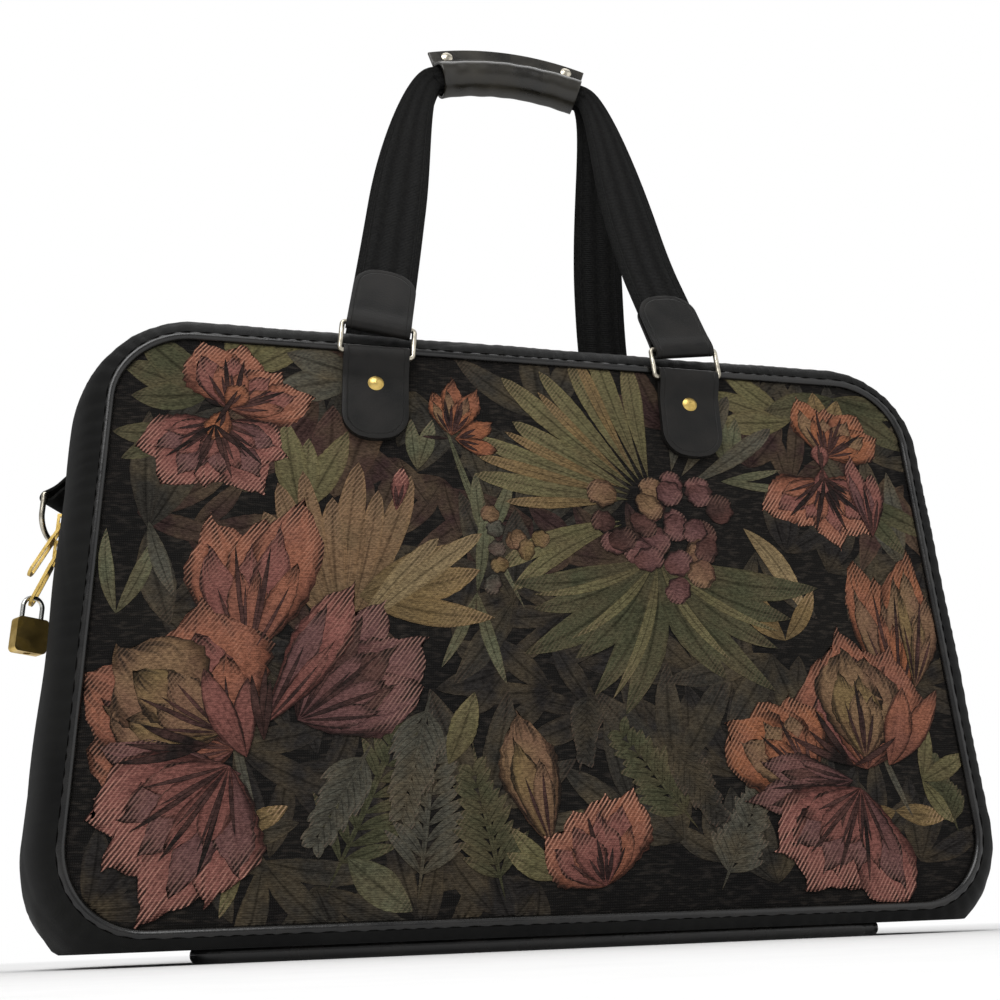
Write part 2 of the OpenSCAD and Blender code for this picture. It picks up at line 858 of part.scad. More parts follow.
// How far the strap is folded, 0 flat to 1 double, by its place along the line
function fold_at(i, n) =
  let (u = (min(i, n - 1 - i) - 7) / 13, c = max(0, min(1, u)))
  c * c * (3 - 2 * c);
function unit(v) = v / norm(v);
function strap_section(line, i) =
  let (
    n = len(line),
    t = unit(line[min(i + 1, n - 1)] - line[max(i - 1, 0)]),
    across = unit([0, 1, 0] - t[1] * t),
    wide = cross(across, t),
    f = fold_at(i, n),
    w = mix(strap_w, fold_w, f) / 2,
    h = mix(strap_t, fold_t, f) / 2
  )
  [
    line[i] - wide * w - across * h, line[i] + wide * w - across * h,
    line[i] + wide * w + across * h, line[i] - wide * w + across * h
  ];

module strap(sy) {
  line = strap_line(sy);
  n = len(line);
  polyhedron([for (i = [0 : n - 1], p = strap_section(line, i)) p], tube_faces(n, 4));
}

module strap_front() {
  color("#1c1c1c") strap(-1);
}

module strap_back() {
  color("#1c1c1c") strap(1);
}

// Grip wrap: one leaf folded up around both straps, its two edges standing above
module wrap_section() {
  in_r = grip_r - leaf_t;
  difference() {
    union() {
      circle(grip_r);
      polygon([[5.5, -11.78], [13.5, -leaf_t - 0.1], [13.5, leaf_t + 0.1], [5.5, 11.78]]);
      translate([0, -leaf_t - 0.1]) square([front_leaf, leaf_t]);
      translate([0, 0.1]) square([back_leaf, leaf_t]);
    }
    circle(in_r);
    translate([0, -0.1]) square([back_leaf + 1, 0.2]);
  }
}

module along_grip(a) {
  translate([grip_x, 0, grip_axis_z])
    rotate([0, a, 0]) children();
}

module grip_wrap() {
  color("#26241c")
    difference() {
      along_grip(0)
        rotate([-90, 0, 0])
          rotate([0, 0, -90 - grip_turn])
            rotate_extrude(angle = 2 * grip_turn)
              translate([grip_arch_r, 0]) wrap_section();
      for (a = [-0.78, 0.78])
        along_grip(a * grip_turn)
          translate([0, 3 * leaf_t, grip_arch_r + snap_h])
            rotate([90, 0, 0]) cylinder(r = snap_stem + seam_fit, h = 6 * leaf_t);
    }
}

// Press studs set in the back leaf, just above the front leaf's edge
module stud_cap() {
  rotate([90, 0, 0])
    rotate_extrude()
      intersection() {
        translate([0, snap_rise - snap_round]) circle(snap_round);
        square([snap_r, 2 * snap_rise]);
      }
}

module grip_snaps() {
  color("#d6d3cb")
    for (a = [-0.78, 0.78])
      along_grip(a * grip_turn)
        translate([0, 0.1 + leaf_t / 2, grip_arch_r + snap_h]) {
          rotate([90, 0, 0]) cylinder(r = snap_stem, h = leaf_t + 0.04, center = true);
          both_faces()
            translate([0, -leaf_t / 2 - 0.02, 0]) stud_cap();
        }
}

front_panel();
back_panel();
tapestry_flowers();
tapestry_leaves();
front_piping();
back_piping();
front_gusset();
back_gusset();
base_gusset();
base_pad();
base_board();
zip_tape_front();
zip_tape_back();
zip_teeth();
zip_end_patches();
zip_slider_upper();
zip_slider_lower();
zip_pull_upper();
zip_pull_lower();
padlock_body();
padlock_shackle();
side_loop_left();
side_loop_right();
d_ring_left();
d_ring_right();
lower_tab(-1, -1);  // lower_tab_front_left
lower_tab(1, -1);  // lower_tab_front_right
lower_tab(-1, 1);  // lower_tab_back_left
lower_tab(1, 1);  // lower_tab_back_right
tab_ring(-1, -1);  // tab_ring_front_left
tab_ring(1, -1);  // tab_ring_front_right
tab_ring(-1, 1);  // tab_ring_back_left
tab_ring(1, 1);  // tab_ring_back_right
upper_tab(-1, -1);  // upper_tab_front_left
upper_tab(1, -1);  // upper_tab_front_right
upper_tab(-1, 1);  // upper_tab_back_left
upper_tab(1, 1);  // upper_tab_back_right
handle_rivets();
strap_front();
strap_back();
grip_wrap();
grip_snaps();
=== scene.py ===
import math

import bpy
import numpy as np
from mathutils import Matrix, Vector
from mathutils.bvhtree import BVHTree


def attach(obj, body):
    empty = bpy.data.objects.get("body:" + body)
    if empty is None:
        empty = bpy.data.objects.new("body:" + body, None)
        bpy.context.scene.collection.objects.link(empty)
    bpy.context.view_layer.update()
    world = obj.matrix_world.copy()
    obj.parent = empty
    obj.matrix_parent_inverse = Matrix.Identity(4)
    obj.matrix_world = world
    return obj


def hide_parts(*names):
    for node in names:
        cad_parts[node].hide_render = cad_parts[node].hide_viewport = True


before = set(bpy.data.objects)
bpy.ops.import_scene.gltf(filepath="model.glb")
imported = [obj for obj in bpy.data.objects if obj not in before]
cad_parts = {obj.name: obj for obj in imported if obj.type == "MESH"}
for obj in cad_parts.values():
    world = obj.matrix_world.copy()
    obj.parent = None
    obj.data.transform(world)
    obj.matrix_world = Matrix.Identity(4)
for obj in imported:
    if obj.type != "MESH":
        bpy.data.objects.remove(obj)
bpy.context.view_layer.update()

# The bag stands on a pale floor before plain white. Soft light comes from above and
# the front left, and the camera looks up at the bag from close to the floor.
mm = 0.001


def dye(code):
    """A colour as it is seen, written as six hex digits, for a shader's socket."""
    parts = [int(code[i:i + 2], 16) / 255 for i in (0, 2, 4)]
    return tuple(c / 12.92 if c <= 0.04045 else ((c + 0.055) / 1.055) ** 2.4 for c in parts) + (1.0,)


def finish_named(name, colour, roughness, specular=0.5):
    """A new material with its own colour, roughness and specular level."""
    material = bpy.data.materials.new(name)
    material.use_nodes = True
    surface = material.node_tree.nodes["Principled BSDF"]
    surface.inputs["Base Color"].default_value = colour
    surface.inputs["Roughness"].default_value = roughness
    surface.inputs["Specular IOR Level"].default_value = specular
    return material, material.node_tree, surface


def node_in(tree, kind, sockets=(), **settings):
    """A shader node with its settings and the values of its sockets."""
    made = tree.nodes.new("ShaderNode" + kind)
    for key, value in settings.items():
        setattr(made, key, value)
    for key, value in dict(sockets).items():
        made.inputs[key].default_value = value
    return made


def thread(tree, source, output, target, socket):
    tree.links.new(source.outputs[output], target.inputs[socket])


def fed(tree, coords, kind, sockets=(), **settings):
    """A texture or mapping fed by the piece's "Object" or "UV" coordinates, or by a mapping."""
    made = node_in(tree, kind, sockets, **settings)
    by_name = isinstance(coords, str)
    source = node_in(tree, "TexCoord") if by_name else coords
    thread(tree, source, coords if by_name else "Vector", made, "Vector")
    return made


def noise(tree, coords, scale, detail):
    return fed(tree, coords, "TexNoise", {"Scale": scale, "Detail": detail})


def steps_between(tree, source, output, low, high, dark, light):
    """A ramp from dark to light between two values of a texture."""
    ramp = node_in(tree, "ValToRGB")
    ramp.color_ramp.elements[0].position = low
    ramp.color_ramp.elements[0].color = dark
    ramp.color_ramp.elements[1].position = high
    ramp.color_ramp.elements[1].color = light
    thread(tree, source, output, ramp, "Fac")
    return ramp


def tinted(tree, surface, socket, *steps):
    """A ramp between two values of a texture, led to one socket of a finish."""
    thread(tree, steps_between(tree, *steps), "Color", surface, socket)


floor_finish, tree, surface = finish_named("floor_paper", dye("f2f2f2"), 0.95, 0.1)
grain = noise(tree, "Object", 40.0, 3.0)
tinted(tree, surface, "Base Color", grain, "Fac", 0.3, 0.7, dye("f3f3f3"), dye("f6f6f6"))
reach = fed(tree, "Object", "VectorMath", operation="LENGTH")
away = node_in(tree, "MapRange", {"From Min": 0.5, "From Max": 1.5}, interpolation_type="SMOOTHSTEP")
thread(tree, reach, "Value", away, "Value")
rays = node_in(tree, "LightPath")
far_off = node_in(tree, "Math", operation="MULTIPLY")
thread(tree, away, "Result", far_off, 0)
thread(tree, rays, "Is Camera Ray", far_off, 1)
white = node_in(tree, "Emission", {"Color": (1.0, 1.0, 1.0, 1.0), "Strength": 1.0})
into_white = node_in(tree, "MixShader")
thread(tree, far_off, 0, into_white, 0)
thread(tree, surface, 0, into_white, 1)
thread(tree, white, 0, into_white, 2)
thread(tree, into_white, 0, tree.nodes["Material Output"], "Surface")
bpy.ops.object.select_all(action="DESELECT")
bpy.ops.mesh.primitive_plane_add(size=12)
floor = bpy.context.object
floor.name = "floor"
floor.data.materials.append(floor_finish)

world = bpy.data.worlds.new("white_room")
bpy.context.scene.world = world
world.use_nodes = True
tree = world.node_tree
room = tree.nodes["Background"]
room.inputs["Color"].default_value = (1.0, 1.0, 1.0, 1.0)
room.inputs["Strength"].default_value = 0.42
backdrop = node_in(tree, "Background", {"Color": (1.0, 1.0, 1.0, 1.0), "Strength": 1.0})
rays = node_in(tree, "LightPath")
either = node_in(tree, "MixShader")
thread(tree, rays, "Is Camera Ray", either, 0)
thread(tree, room, 0, either, 1)
thread(tree, backdrop, 0, either, 2)
thread(tree, either, 0, tree.nodes["World Output"], "Surface")
bpy.context.scene.view_settings.view_transform = "Standard"


def lamp_over(name, spot, aim, size, watts):
    """A soft square lamp at a spot, turned to what it lights."""
    data = bpy.data.lights.new(name, "AREA")
    data.size = size
    data.energy = watts
    lamp = bpy.data.objects.new(name, data)
    bpy.context.scene.collection.objects.link(lamp)
    lamp.location = spot
    lamp.rotation_euler = (Vector(aim) - Vector(spot)).to_track_quat("-Z", "Y").to_euler()


lamp_over("key_lamp", (-0.9, -1.7, 1.9), (0.0, 0.0, 0.25), 1.5, 36)
lamp_over("fill_lamp", (1.6, -1.5, 1.0), (0.0, 0.0, 0.25), 2.4, 13)
lamp_over("top_lamp", (0.1, 0.5, 2.2), (0.0, 0.0, 0.3), 2.0, 18)

view_right = Vector((0.97620, -0.21358, -0.03758))
view_down = Vector((0.04791, 0.38141, -0.92317))
view_ahead = Vector((0.21151, 0.89939, 0.38256))
view_spot = Vector((-156.6, -627.6, 6.0)) * mm
camera_data = bpy.data.cameras.new("camera")
camera_data.sensor_width = 36
camera_data.sensor_fit = "HORIZONTAL"
camera_data.lens = 39.4
camera_data.shift_y = -0.015
camera_data.clip_start = 0.004
camera = bpy.data.objects.new("camera", camera_data)
bpy.context.scene.collection.objects.link(camera)
camera.matrix_world = Matrix((
    (view_right.x, -view_down.x, -view_ahead.x, view_spot.x),
    (view_right.y, -view_down.y, -view_ahead.y, view_spot.y),
    (view_right.z, -view_down.z, -view_ahead.z, view_spot.z),
    (0, 0, 0, 1),
))
bpy.context.scene.camera = camera

# Front and back panels: padded jacquard tapestry on a black ground, cut to a rounded
# rectangle and sewn to the piping all round. The tabs' rivets hold them flat near the top.
half_wide = 238.6
half_high = 155.6
corner_round = 40.6
middle_z = 170.5
panel_y = -65.0
flat_y = panel_y + 0.6
panel_thick = 3.2
tab_x, tab_reach, tab_foot = 96.0, 23.0, 92.0


def sewn_sheet(name, along, across, place, cloth=(1.0, 1.0)):
    """A grid whose points go where place(u, v) says, in mm; its UV map is in the cloth's own metres."""
    bpy.ops.object.select_all(action="DESELECT")
    bpy.ops.mesh.primitive_grid_add(x_subdivisions=along, y_subdivisions=across, size=2)
    piece = bpy.context.object
    piece.name = name
    mesh = piece.data
    mesh.name = name
    spots = np.empty(len(mesh.vertices) * 3)
    mesh.vertices.foreach_get("co", spots)
    grid = (spots.reshape(-1, 3)[:, :2] + 1) / 2
    shaped = np.array([place(u, v) for u, v in grid]) * mm
    mesh.vertices.foreach_set("co", shaped.ravel())
    corners = np.empty(len(mesh.loops), dtype=np.int32)
    mesh.loops.foreach_get("vertex_index", corners)
    layer = mesh.uv_layers[0] if mesh.uv_layers else mesh.uv_layers.new(name="cloth")
    layer.data.foreach_set("uv", (grid[corners] * np.array(cloth)).astype(np.float32).ravel())
    mesh.update()
    return piece


def picked(*pieces):
    """These pieces alone selected, the first of them active."""
    bpy.ops.object.select_all(action="DESELECT")
    for piece in pieces:
        piece.select_set(True)
    bpy.context.view_layer.objects.active = pieces[0]


def settled(piece, kind, **settings):
    """One modifier, set and applied."""
    picked(piece)
    step = piece.modifiers.new(kind.lower(), kind)
    for key, value in settings.items():
        setattr(step, key, value)
    bpy.ops.object.modifier_apply(modifier=step.name)
    return piece


def smoothed(piece, angle=50):
    picked(piece)
    bpy.ops.object.shade_smooth_by_angle(angle=math.radians(angle))
    return piece


def closed_up(piece, outward=True):
    """Doubles merged where a sheet meets itself, and faces turned outwards."""
    picked(piece)
    bpy.ops.object.mode_set(mode="EDIT")
    bpy.ops.mesh.select_all(action="SELECT")
    bpy.ops.mesh.remove_doubles(threshold=0.00002)
    if outward:
        bpy.ops.mesh.normals_make_consistent(inside=False)
    bpy.ops.object.mode_set(mode="OBJECT")
    return piece


def inside_panel(x, z, inset=0.0):
    """The nearest point inside the panel's outline, x and z from the panel's middle."""
    w, h, r = half_wide - inset, half_high - inset, corner_round - inset
    x, z = max(-w, min(w, x)), max(-h, min(h, z))
    over_x, over_z = abs(x) - (w - r), abs(z) - (h - r)
    if over_x > 0 and over_z > 0:
        far = math.hypot(over_x, over_z)
        if far > r:
            x = math.copysign(w - r + over_x * r / far, x)
            z = math.copysign(h - r + over_z * r / far, z)
    return x, z


def panel_spot(u, v):
    x, z = inside_panel((2 * u - 1) * half_wide, (2 * v - 1) * half_high)
    return x, flat_y, middle_z + z


def held_flat(x, z):
    """True on the sewn edge and under the riveted tabs."""
    edge_x, edge_z = inside_panel(x, z, 3.0)
    under_tab = abs(abs(x) - tab_x) < tab_reach and z > tab_foot
    return under_tab or math.hypot(edge_x - x, edge_z - z) > 0.01


front_panel = sewn_sheet("front_panel_cloth", 96, 64, panel_spot, (0.4746, 0.3086))
closed_up(front_panel, outward=False)
held = front_panel.vertex_groups.new(name="sewn_edge")
sewn = [p.index for p in front_panel.data.vertices if held_flat(p.co.x / mm, p.co.z / mm - middle_z)]
held.add(sewn, 1.0, "REPLACE")
crown_most = 6.5
picked(front_panel)
stuffing = front_panel.modifiers.new("stuffing", "CLOTH")
for key, value in (("quality", 6), ("mass", 0.25), ("tension_stiffness", 12), ("compression_stiffness", 12),
                   ("shear_stiffness", 4), ("bending_stiffness", 0.4), ("use_pressure", True),
                   ("uniform_pressure_force", 3.0), ("vertex_group_mass", "sewn_edge")):
    setattr(stuffing.settings, key, value)
stuffing.settings.effector_weights.gravity = 0.15
stuffing.collision_settings.use_self_collision = False
stuffing.point_cache.frame_start = 1
stuffing.point_cache.frame_end = 20
for step in range(1, 21):
    bpy.context.scene.frame_set(step)
picked(front_panel)
bpy.ops.object.modifier_apply(modifier="stuffing")
bpy.context.scene.frame_set(1)
for point in front_panel.data.vertices:
    x, z = point.co.x / mm, point.co.z / mm - middle_z
    rise = max(0.0, min(crown_most, flat_y - point.co.y / mm))
    ripple = 0.35 * math.sin(x / 31 + z / 47) * math.sin(x / 53 - z / 29) * min(1.0, rise)
    point.co.y = (flat_y - rise - ripple) * mm
settled(front_panel, "SUBSURF", levels=1, render_levels=1)
panel_rays = BVHTree.FromObject(front_panel, bpy.context.evaluated_depsgraph_get())
settled(front_panel, "SOLIDIFY", thickness=panel_thick * mm, offset=-1)
smoothed(front_panel)


def mixed(tree, how, amount, first, second):
    """Two colours mixed; each is a (node, output) pair or a plain colour."""
    blend = node_in(tree, "Mix", data_type="RGBA", blend_type=how)
    for value, socket in ((amount, 0), (first, 6), (second, 7)):
        if isinstance(value, tuple) and len(value) == 2:
            tree.links.new(value[0].outputs[value[1]], blend.inputs[socket])
        else:
            blend.inputs[socket].default_value = value
    return blend


def raised(tree, surface, height, output, strength, depth):
    """Relief from a texture, depth in metres."""
    relief = node_in(tree, "Bump", {"Strength": strength, "Distance": depth})
    thread(tree, height, output, relief, "Height")
    thread(tree, relief, "Normal", surface, "Normal")
    return relief


def bands(tree, coords, way, scale, distortion, detail=2.0):
    """Stripes across one axis of the coordinates, a little wavy."""
    sockets = {"Scale": scale, "Distortion": distortion, "Detail": detail}
    return fed(tree, coords, "TexWave", sockets, bands_direction=way)


ground, tree, surface = finish_named("tapestry_ground", dye("1e1c1b"), 0.95, 0.06)
warp = bands(tree, "Object", "X", 330.0, 1.2, 1.0)
weft = bands(tree, "Object", "Z", 260.0, 1.2, 1.0)
crossing = mixed(tree, "MULTIPLY", 1.0, (warp, "Color"), (weft, "Color"))
stretch = fed(tree, "Object", "Mapping", {"Scale": (0.25, 1.0, 1.0)})
slub = noise(tree, stretch, 620.0, 2.0)
flecks = steps_between(tree, slub, "Fac", 0.5, 0.78, dye("161514"), dye("332f2b"))
patchy = noise(tree, "Object", 14.0, 3.0)
cast = steps_between(tree, patchy, "Fac", 0.35, 0.7, dye("f4eee8"), dye("a8a8b0"))
toned = mixed(tree, "MULTIPLY", 0.75, (flecks, "Color"), (cast, "Color"))
worn = mixed(tree, "ADD", 0.008, (toned, 2), (crossing, 2))
thread(tree, worn, 2, surface, "Base Color")
raised(tree, surface, crossing, 2, 0.35, 0.0006)
front_panel.data.materials.append(ground)


def copied(piece, name, mirror):
    """A copy with its own mesh, mirrored by a diagonal such as (1, -1, 1)."""
    twin = piece.copy()
    twin.data = piece.data.copy()
    twin.name = name
    twin.data.name = name
    bpy.context.scene.collection.objects.link(twin)
    twin.data.transform(Matrix.Diagonal((*mirror, 1)))
    if mirror[0] * mirror[1] * mirror[2] < 0:
        twin.data.flip_normals()
    return twin


def dressed(piece, node):
    """The piece rides on the bag and stands for a CAD node."""
    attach(piece, "bag")
    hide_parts(node)


back_panel = copied(front_panel, "back_panel_cloth", (1, -1, 1))
for panel, node in ((front_panel, "front_panel"), (back_panel, "back_panel")):
    dressed(panel, node)

# The woven flowers and foliage: coloured wefts brought up over the black ground, in rust,
# rose and tan for the flowers and in sage and olive for the leaves, with long floats at the tips.
bpy.ops.object.select_all(action="DESELECT")
bpy.ops.mesh.primitive_grid_add(x_subdivisions=18, y_subdivisions=8, size=2)
blank = bpy.context.object
blank.name = "woven_blank"
blank_grid = np.array([((p.co.x + 1) / 2, (p.co.y + 1) / 2) for p in blank.data.vertices])
blank_corners = np.array([c.vertex_index for c in blank.data.loops])

hues = {
    "rust": "885a48", "rose": "7b514b", "mauve": "654948", "plum": "443330", "orange": "8b5b42",
    "tan": "79624b", "ochre": "776547", "sand": "87775a", "olive": "666247", "sage": "5c5e4b",
    "moss": "494a38", "grey": "504f47", "dusk": "363430", "night": "2d2b2a", "heart": "3a2c2b",
    "shade": "292322",
}
flower_rows = []
leaf_rows = []


def spray(rows, x, z, turns, length, width, hue, floats=0.0, bend=0.0, kind="leaf", start=0.0):
    """Blades that spread from one point: each turn is a direction, 0 to the right and 90 up."""
    for i, turn in enumerate(turns):
        a = math.radians(turn)
        swing = bend if turn % 360 < 90 or turn % 360 > 270 else -bend
        long = length * (1 + 0.13 * math.sin(2.4 * i + x))
        wide = width * (1 + 0.12 * math.cos(1.7 * i + z))
        at = (x + start * math.cos(a), z + start * math.sin(a))
        rows.append((*at, turn, long, wide, swing, hue, floats, kind))


def flower(x, z, turns, length, width, hue, floats, bend=8.0):
    """Petals round one point, with a dark heart and dark slits between neighbours."""
    spray(flower_rows, x, z, turns, length, width, hue, floats, bend, "petal")
    if length > 30:
        inner = {"rust": "rose", "orange": "tan", "rose": "mauve", "mauve": "plum", "tan": "ochre"}[hue]
        spray(flower_rows, x, z, [t + 5 for t in turns], length * 0.8, width * 0.5, inner, 0.5 * floats, bend,
              "petal")
        spray(flower_rows, x, z, [t - 8 for t in turns], length * 0.62, width * 0.36, hue, 0.2, bend, "petal")
    for a, b in zip(turns, turns[1:]):
        spray(flower_rows, x, z, [(a + b) / 2], length * 0.62, 2.5, "shade", 0.0, 4, "leaf", length * 0.16)
    beside = [t + 7 for t in turns] + [t - 9 for t in turns]
    spray(flower_rows, x, z, beside, length * 0.5, 2.0, "heart", 0.0, 6, "leaf", 2.0)


def fern(x, z, turn, length, hue):
    """Pairs of small leaves along a bent rib."""
    a = math.radians(turn)
    spray(leaf_rows, x, z, [turn], length, 3.4, hue, 0.2, 6)
    for i in range(9):
        far = length * (0.16 + 0.088 * i)
        reach = length * (0.34 - 0.024 * i)
        at = (x + far * math.cos(a), z + far * math.sin(a))
        spray(leaf_rows, *at, [turn + 42, turn - 42], reach, 6.2, hue, 0.25, -14)


# Dim foliage far back in the weave, all over the panel
for i in range(84):
    at = (452 * ((0.618034 * i) % 1 - 0.5), 292 * ((0.754878 * i) % 1 - 0.5))
    turn = 137 * i % 360
    hue = ("night", "dusk", "heart", "night")[i % 4]
    spray(leaf_rows, *at, (turn, turn + 44, turn + 80), 44 + 9 * math.sin(i), 13, hue, 0.0, 14)
for x, z, turns in ((-40, -104, (20, 70, 120)), (64, -86, (50, 95, 140)), (-122, 84, (70, 110, 150)),
                    (206, 52, (80, 120, 250)), (128, -22, (200, 240, 285)), (-214, 40, (60, 100, 280)),
                    (4, 118, (60, 100, 150)), (-20, 6, (80, 120, 240))):
    spray(leaf_rows, x, z, turns, 62, 17, "dusk", 0.1, 12)
for row in (
        (-128, 120, (196, 238, 70), 58, 24, "plum", 0.15, 10),
        (-118, 62, (66, 96), 62, 22, "plum", 0.2, 8),
        (222, 92, (250, 285), 62, 18, "plum", 0.1, 8),
        (128, 40, (250, 300), 60, 15, "dusk", 0.1, 16),
        # Leaves round the two upper flowers
        (-186, 122, (168, 192, 146), 50, 19, "moss", 0.1, 12),
        (-172, 136, (58, 96, 28), 40, 16, "olive", 0.15, 10),
        (-204, 96, (186, 216), 34, 13, "moss", 0.1, 10),
        (-136, 52, (60, 82, 104), 52, 17, "olive", 0.3, 8),
        (-104, 140, (200, 170), 50, 22, "grey", 0.1, 8),
        (164, 128, (168, 146, 190), 56, 16, "olive", 0.15, 10),
        (196, 146, (318, 344, 200), 52, 19, "moss", 0.1, 12),
        (186, 116, (62, 100), 34, 15, "ochre", 0.2, 8),
        (222, 34, (84, 112), 56, 15, "grey", 0.1, 8),
        (200, 78, (300, 330), 52, 15, "moss", 0.25, 12),
        # Long stems with small pointed leaves
        (-56, 112, (286,), 112, 4.4, "sage", 0.2, 10),
        (-34, 40, (104, 60), 46, 9, "sage", 0.2, 16),
        (-72, 82, (70, 100), 34, 9, "sage", 0.4, 8),
        (-40, 10, (250, 280, 78), 52, 7, "sage", 0.2, 12),
        (-226, -6, (58, 112), 44, 8, "sage", 0.25, 22),
        (-214, 44, (286,), 46, 8, "grey", 0.2, 10),
        (118, 92, (72, 100), 42, 12, "sage", 0.2, 8),
        (112, 84, (10, 352), 46, 6, "sage", 0.2, 6),
        (122, 54, (318,), 56, 15, "sand", 0.5, -34),
        (138, -14, (44, 128, 150), 40, 10, "ochre", 0.7, 22),
        # Feathered plume beside the left tulip
        (-112, -18, (64, 73, 82, 91, 100, 109, 118, 127), 92, 14, "tan", 0.35, 10, "blade"),
        (-104, 6, (6, 24, 344), 66, 18, "ochre", 0.45, 16),
        (-108, -16, (56, 46), 84, 12, "sand", 0.3, -12, "blade"),
        # Fan palm with drooping leaves below it
        (68, 68, (98, 109, 120, 131, 142, 153, 164, 176), 92, 12, "olive", 0.3, 6, "blade", 16),
        (64, 70, (114, 136, 158, 170, 186), 78, 7, "ochre", 0.35, 6, "blade", 18),
        (60, 58, (190, 199), 84, 11, "olive", 0.3, -26, "blade", 14),
        (76, 72, (30, 52, 74), 66, 13, "grey", 0.15, 10, "blade", 18),
        (66, 34, (206, 218, 230, 243, 256, 268, 281, 294, 307, 321, 336), 86, 17, "moss", 0.15, 30, "leaf", 4),
        (66, 34, (212, 236, 262, 288, 314), 74, 6, "olive", 0.3, 30, "leaf", 6)):
    spray(leaf_rows, *row)
# Ferns along the bottom, and small leaves among them
for row in ((-118, -142, 64, 96, "moss"), (-74, -148, 82, 86, "grey"), (-30, -148, 104, 72, "moss"),
            (-96, -70, 240, 62, "grey"), (74, -116, 128, 70, "moss"), (84, -146, 62, 62, "grey"),
            (60, -66, 300, 56, "dusk"), (228, -120, 104, 44, "moss"), (-66, -44, 256, 70, "grey"),
            (20, -40, 262, 44, "dusk")):
    fern(*row)
for row in (
        (-58, -82, (64,), 46, 13, "olive", 0.2, 8),
        (-160, -112, (158, 22), 27, 11, "ochre", 0.9, 6),
        (-158, -122, (256,), 34, 8, "olive", 0.4, 6),
        (-168, -52, (282,), 62, 5, "grey", 0.2, 8),
        (-108, -126, (318,), 46, 16, "sage", 0.15, 8),
        (190, -108, (350, 196), 28, 11, "ochre", 0.9, 6),
        (186, -72, (286,), 46, 4.4, "grey", 0.2, 8),
        (210, -92, (70, 300, 20), 32, 10, "olive", 0.3, 10),
        (-2, -138, (30, 64, 140, 160), 34, 10, "olive", 0.3, 10)):
    spray(leaf_rows, *row)

# Flowers
flower(-176, 112, (82, 118, 38, 8), 42, 30, "rust", 0.9, 8)
flower(-182, 104, (206, 238, 268, 298, 328), 44, 32, "rose", 0.9, 8)
flower(-178, 112, (60, 250), 20, 14, "orange", 0.3, 0)
flower(184, 104, (112, 76, 44, 18), 38, 27, "orange", 0.6, 8)
flower(178, 88, (212, 242, 272, 302, 330), 42, 28, "rust", 0.9, 8)
flower(180, 96, (90, 260), 18, 13, "rose", 0.3, 0)
flower(206, 52, (78, 100), 48, 15, "rose", 0.5, 6)
flower(-160, -30, (110, 90, 70), 82, 38, "rust", 0.7, 8)
flower(-134, -60, (72, 50, 28, 10), 74, 34, "mauve", 0.7, 10)
flower(-150, -62, (56,), 78, 26, "rose", 0.6, 8)
flower(-164, -74, (186, 160, 134, 112), 74, 56, "rust", 0.45, 12)
flower(-170, -66, (172, 146), 60, 52, "tan", 0.15, 10)
flower(-160, -86, (176, 196), 72, 22, "mauve", 0.5, 14)
flower(-166, -82, (206, 226, 248, 268), 72, 42, "rose", 1.0, 10)
spray(flower_rows, -158, -78, (100, 126), 44, 13, "rose", 0.1, 16)
flower(-52, 104, (116, 84, 58), 34, 13, "orange", 0.15, 10)
flower(-50, 102, (20, 338), 24, 12, "orange", 0.1, 14)
flower(-84, 56, (82,), 30, 9, "rose", 0.9, 0)
flower(-6, -122, (106,), 66, 36, "tan", 0.1, 6)
flower(22, -142, (92, 118, 66, 146), 44, 28, "rust", 1.0, 8)
flower(22, -142, (84, 120), 30, 18, "rose", 0.5, 8)
flower(204, -48, (104, 88, 72), 82, 30, "orange", 0.45, 8)
flower(216, -40, (80, 66), 66, 18, "tan", 0.3, 8)
flower(176, -86, (64, 88, 112), 72, 56, "rust", 0.45, 10)
flower(176, -80, (76, 100), 56, 46, "tan", 0.15, 10)
flower(142, -92, (104, 128, 152), 50, 40, "orange", 0.6, 10)
flower(166, -92, (196, 176), 60, 22, "mauve", 0.4, 14)
spray(flower_rows, 190, -84, (40, 62), 52, 16, "rust", 0.2, 14)
flower(170, -96, (214, 236, 258, 280), 60, 42, "rose", 1.0, 8)
# Dark wefts drawn into the hearts of the big flowers
spray(flower_rows, -176, -72, (188, 200, 172), 40, 4, "shade", 0.0, 18)
spray(flower_rows, -150, -70, (96, 108, 82), 34, 4, "shade", 0.0, 10)
spray(flower_rows, 168, -84, (150, 164, 130, 20), 36, 4, "shade", 0.0, 16)
spray(flower_rows, -184, 102, (222, 254, 284, 314, 60), 22, 3, "shade", 0.0, 6)
spray(flower_rows, 180, 90, (228, 258, 288, 318, 94), 20, 3, "shade", 0.0, 6)
# Berries in the heart of the palm, and a small bunch to its left
golden = 2.39996
for i in range(26):
    a, far = golden * i, 6.6 * math.sqrt(i)
    hue = ("mauve", "plum", "tan", "mauve")[i % 4]
    at = (74 + far * math.cos(a) * 1.15, 60 + far * math.sin(a) - 8)
    spray(flower_rows, *at, (40 + 71 * i,), 17, 15.5, hue, 0.35, 0, "berry")
for i in range(9):
    a, far = golden * i, 5.6 * math.sqrt(i)
    at = (-22 + far * math.cos(a), 38 + far * math.sin(a) * 1.3)
    spray(flower_rows, *at, (30 + 83 * i,), 12, 10.5, ("tan", "grey", "ochre")[i % 3], 0.2, 0, "berry")


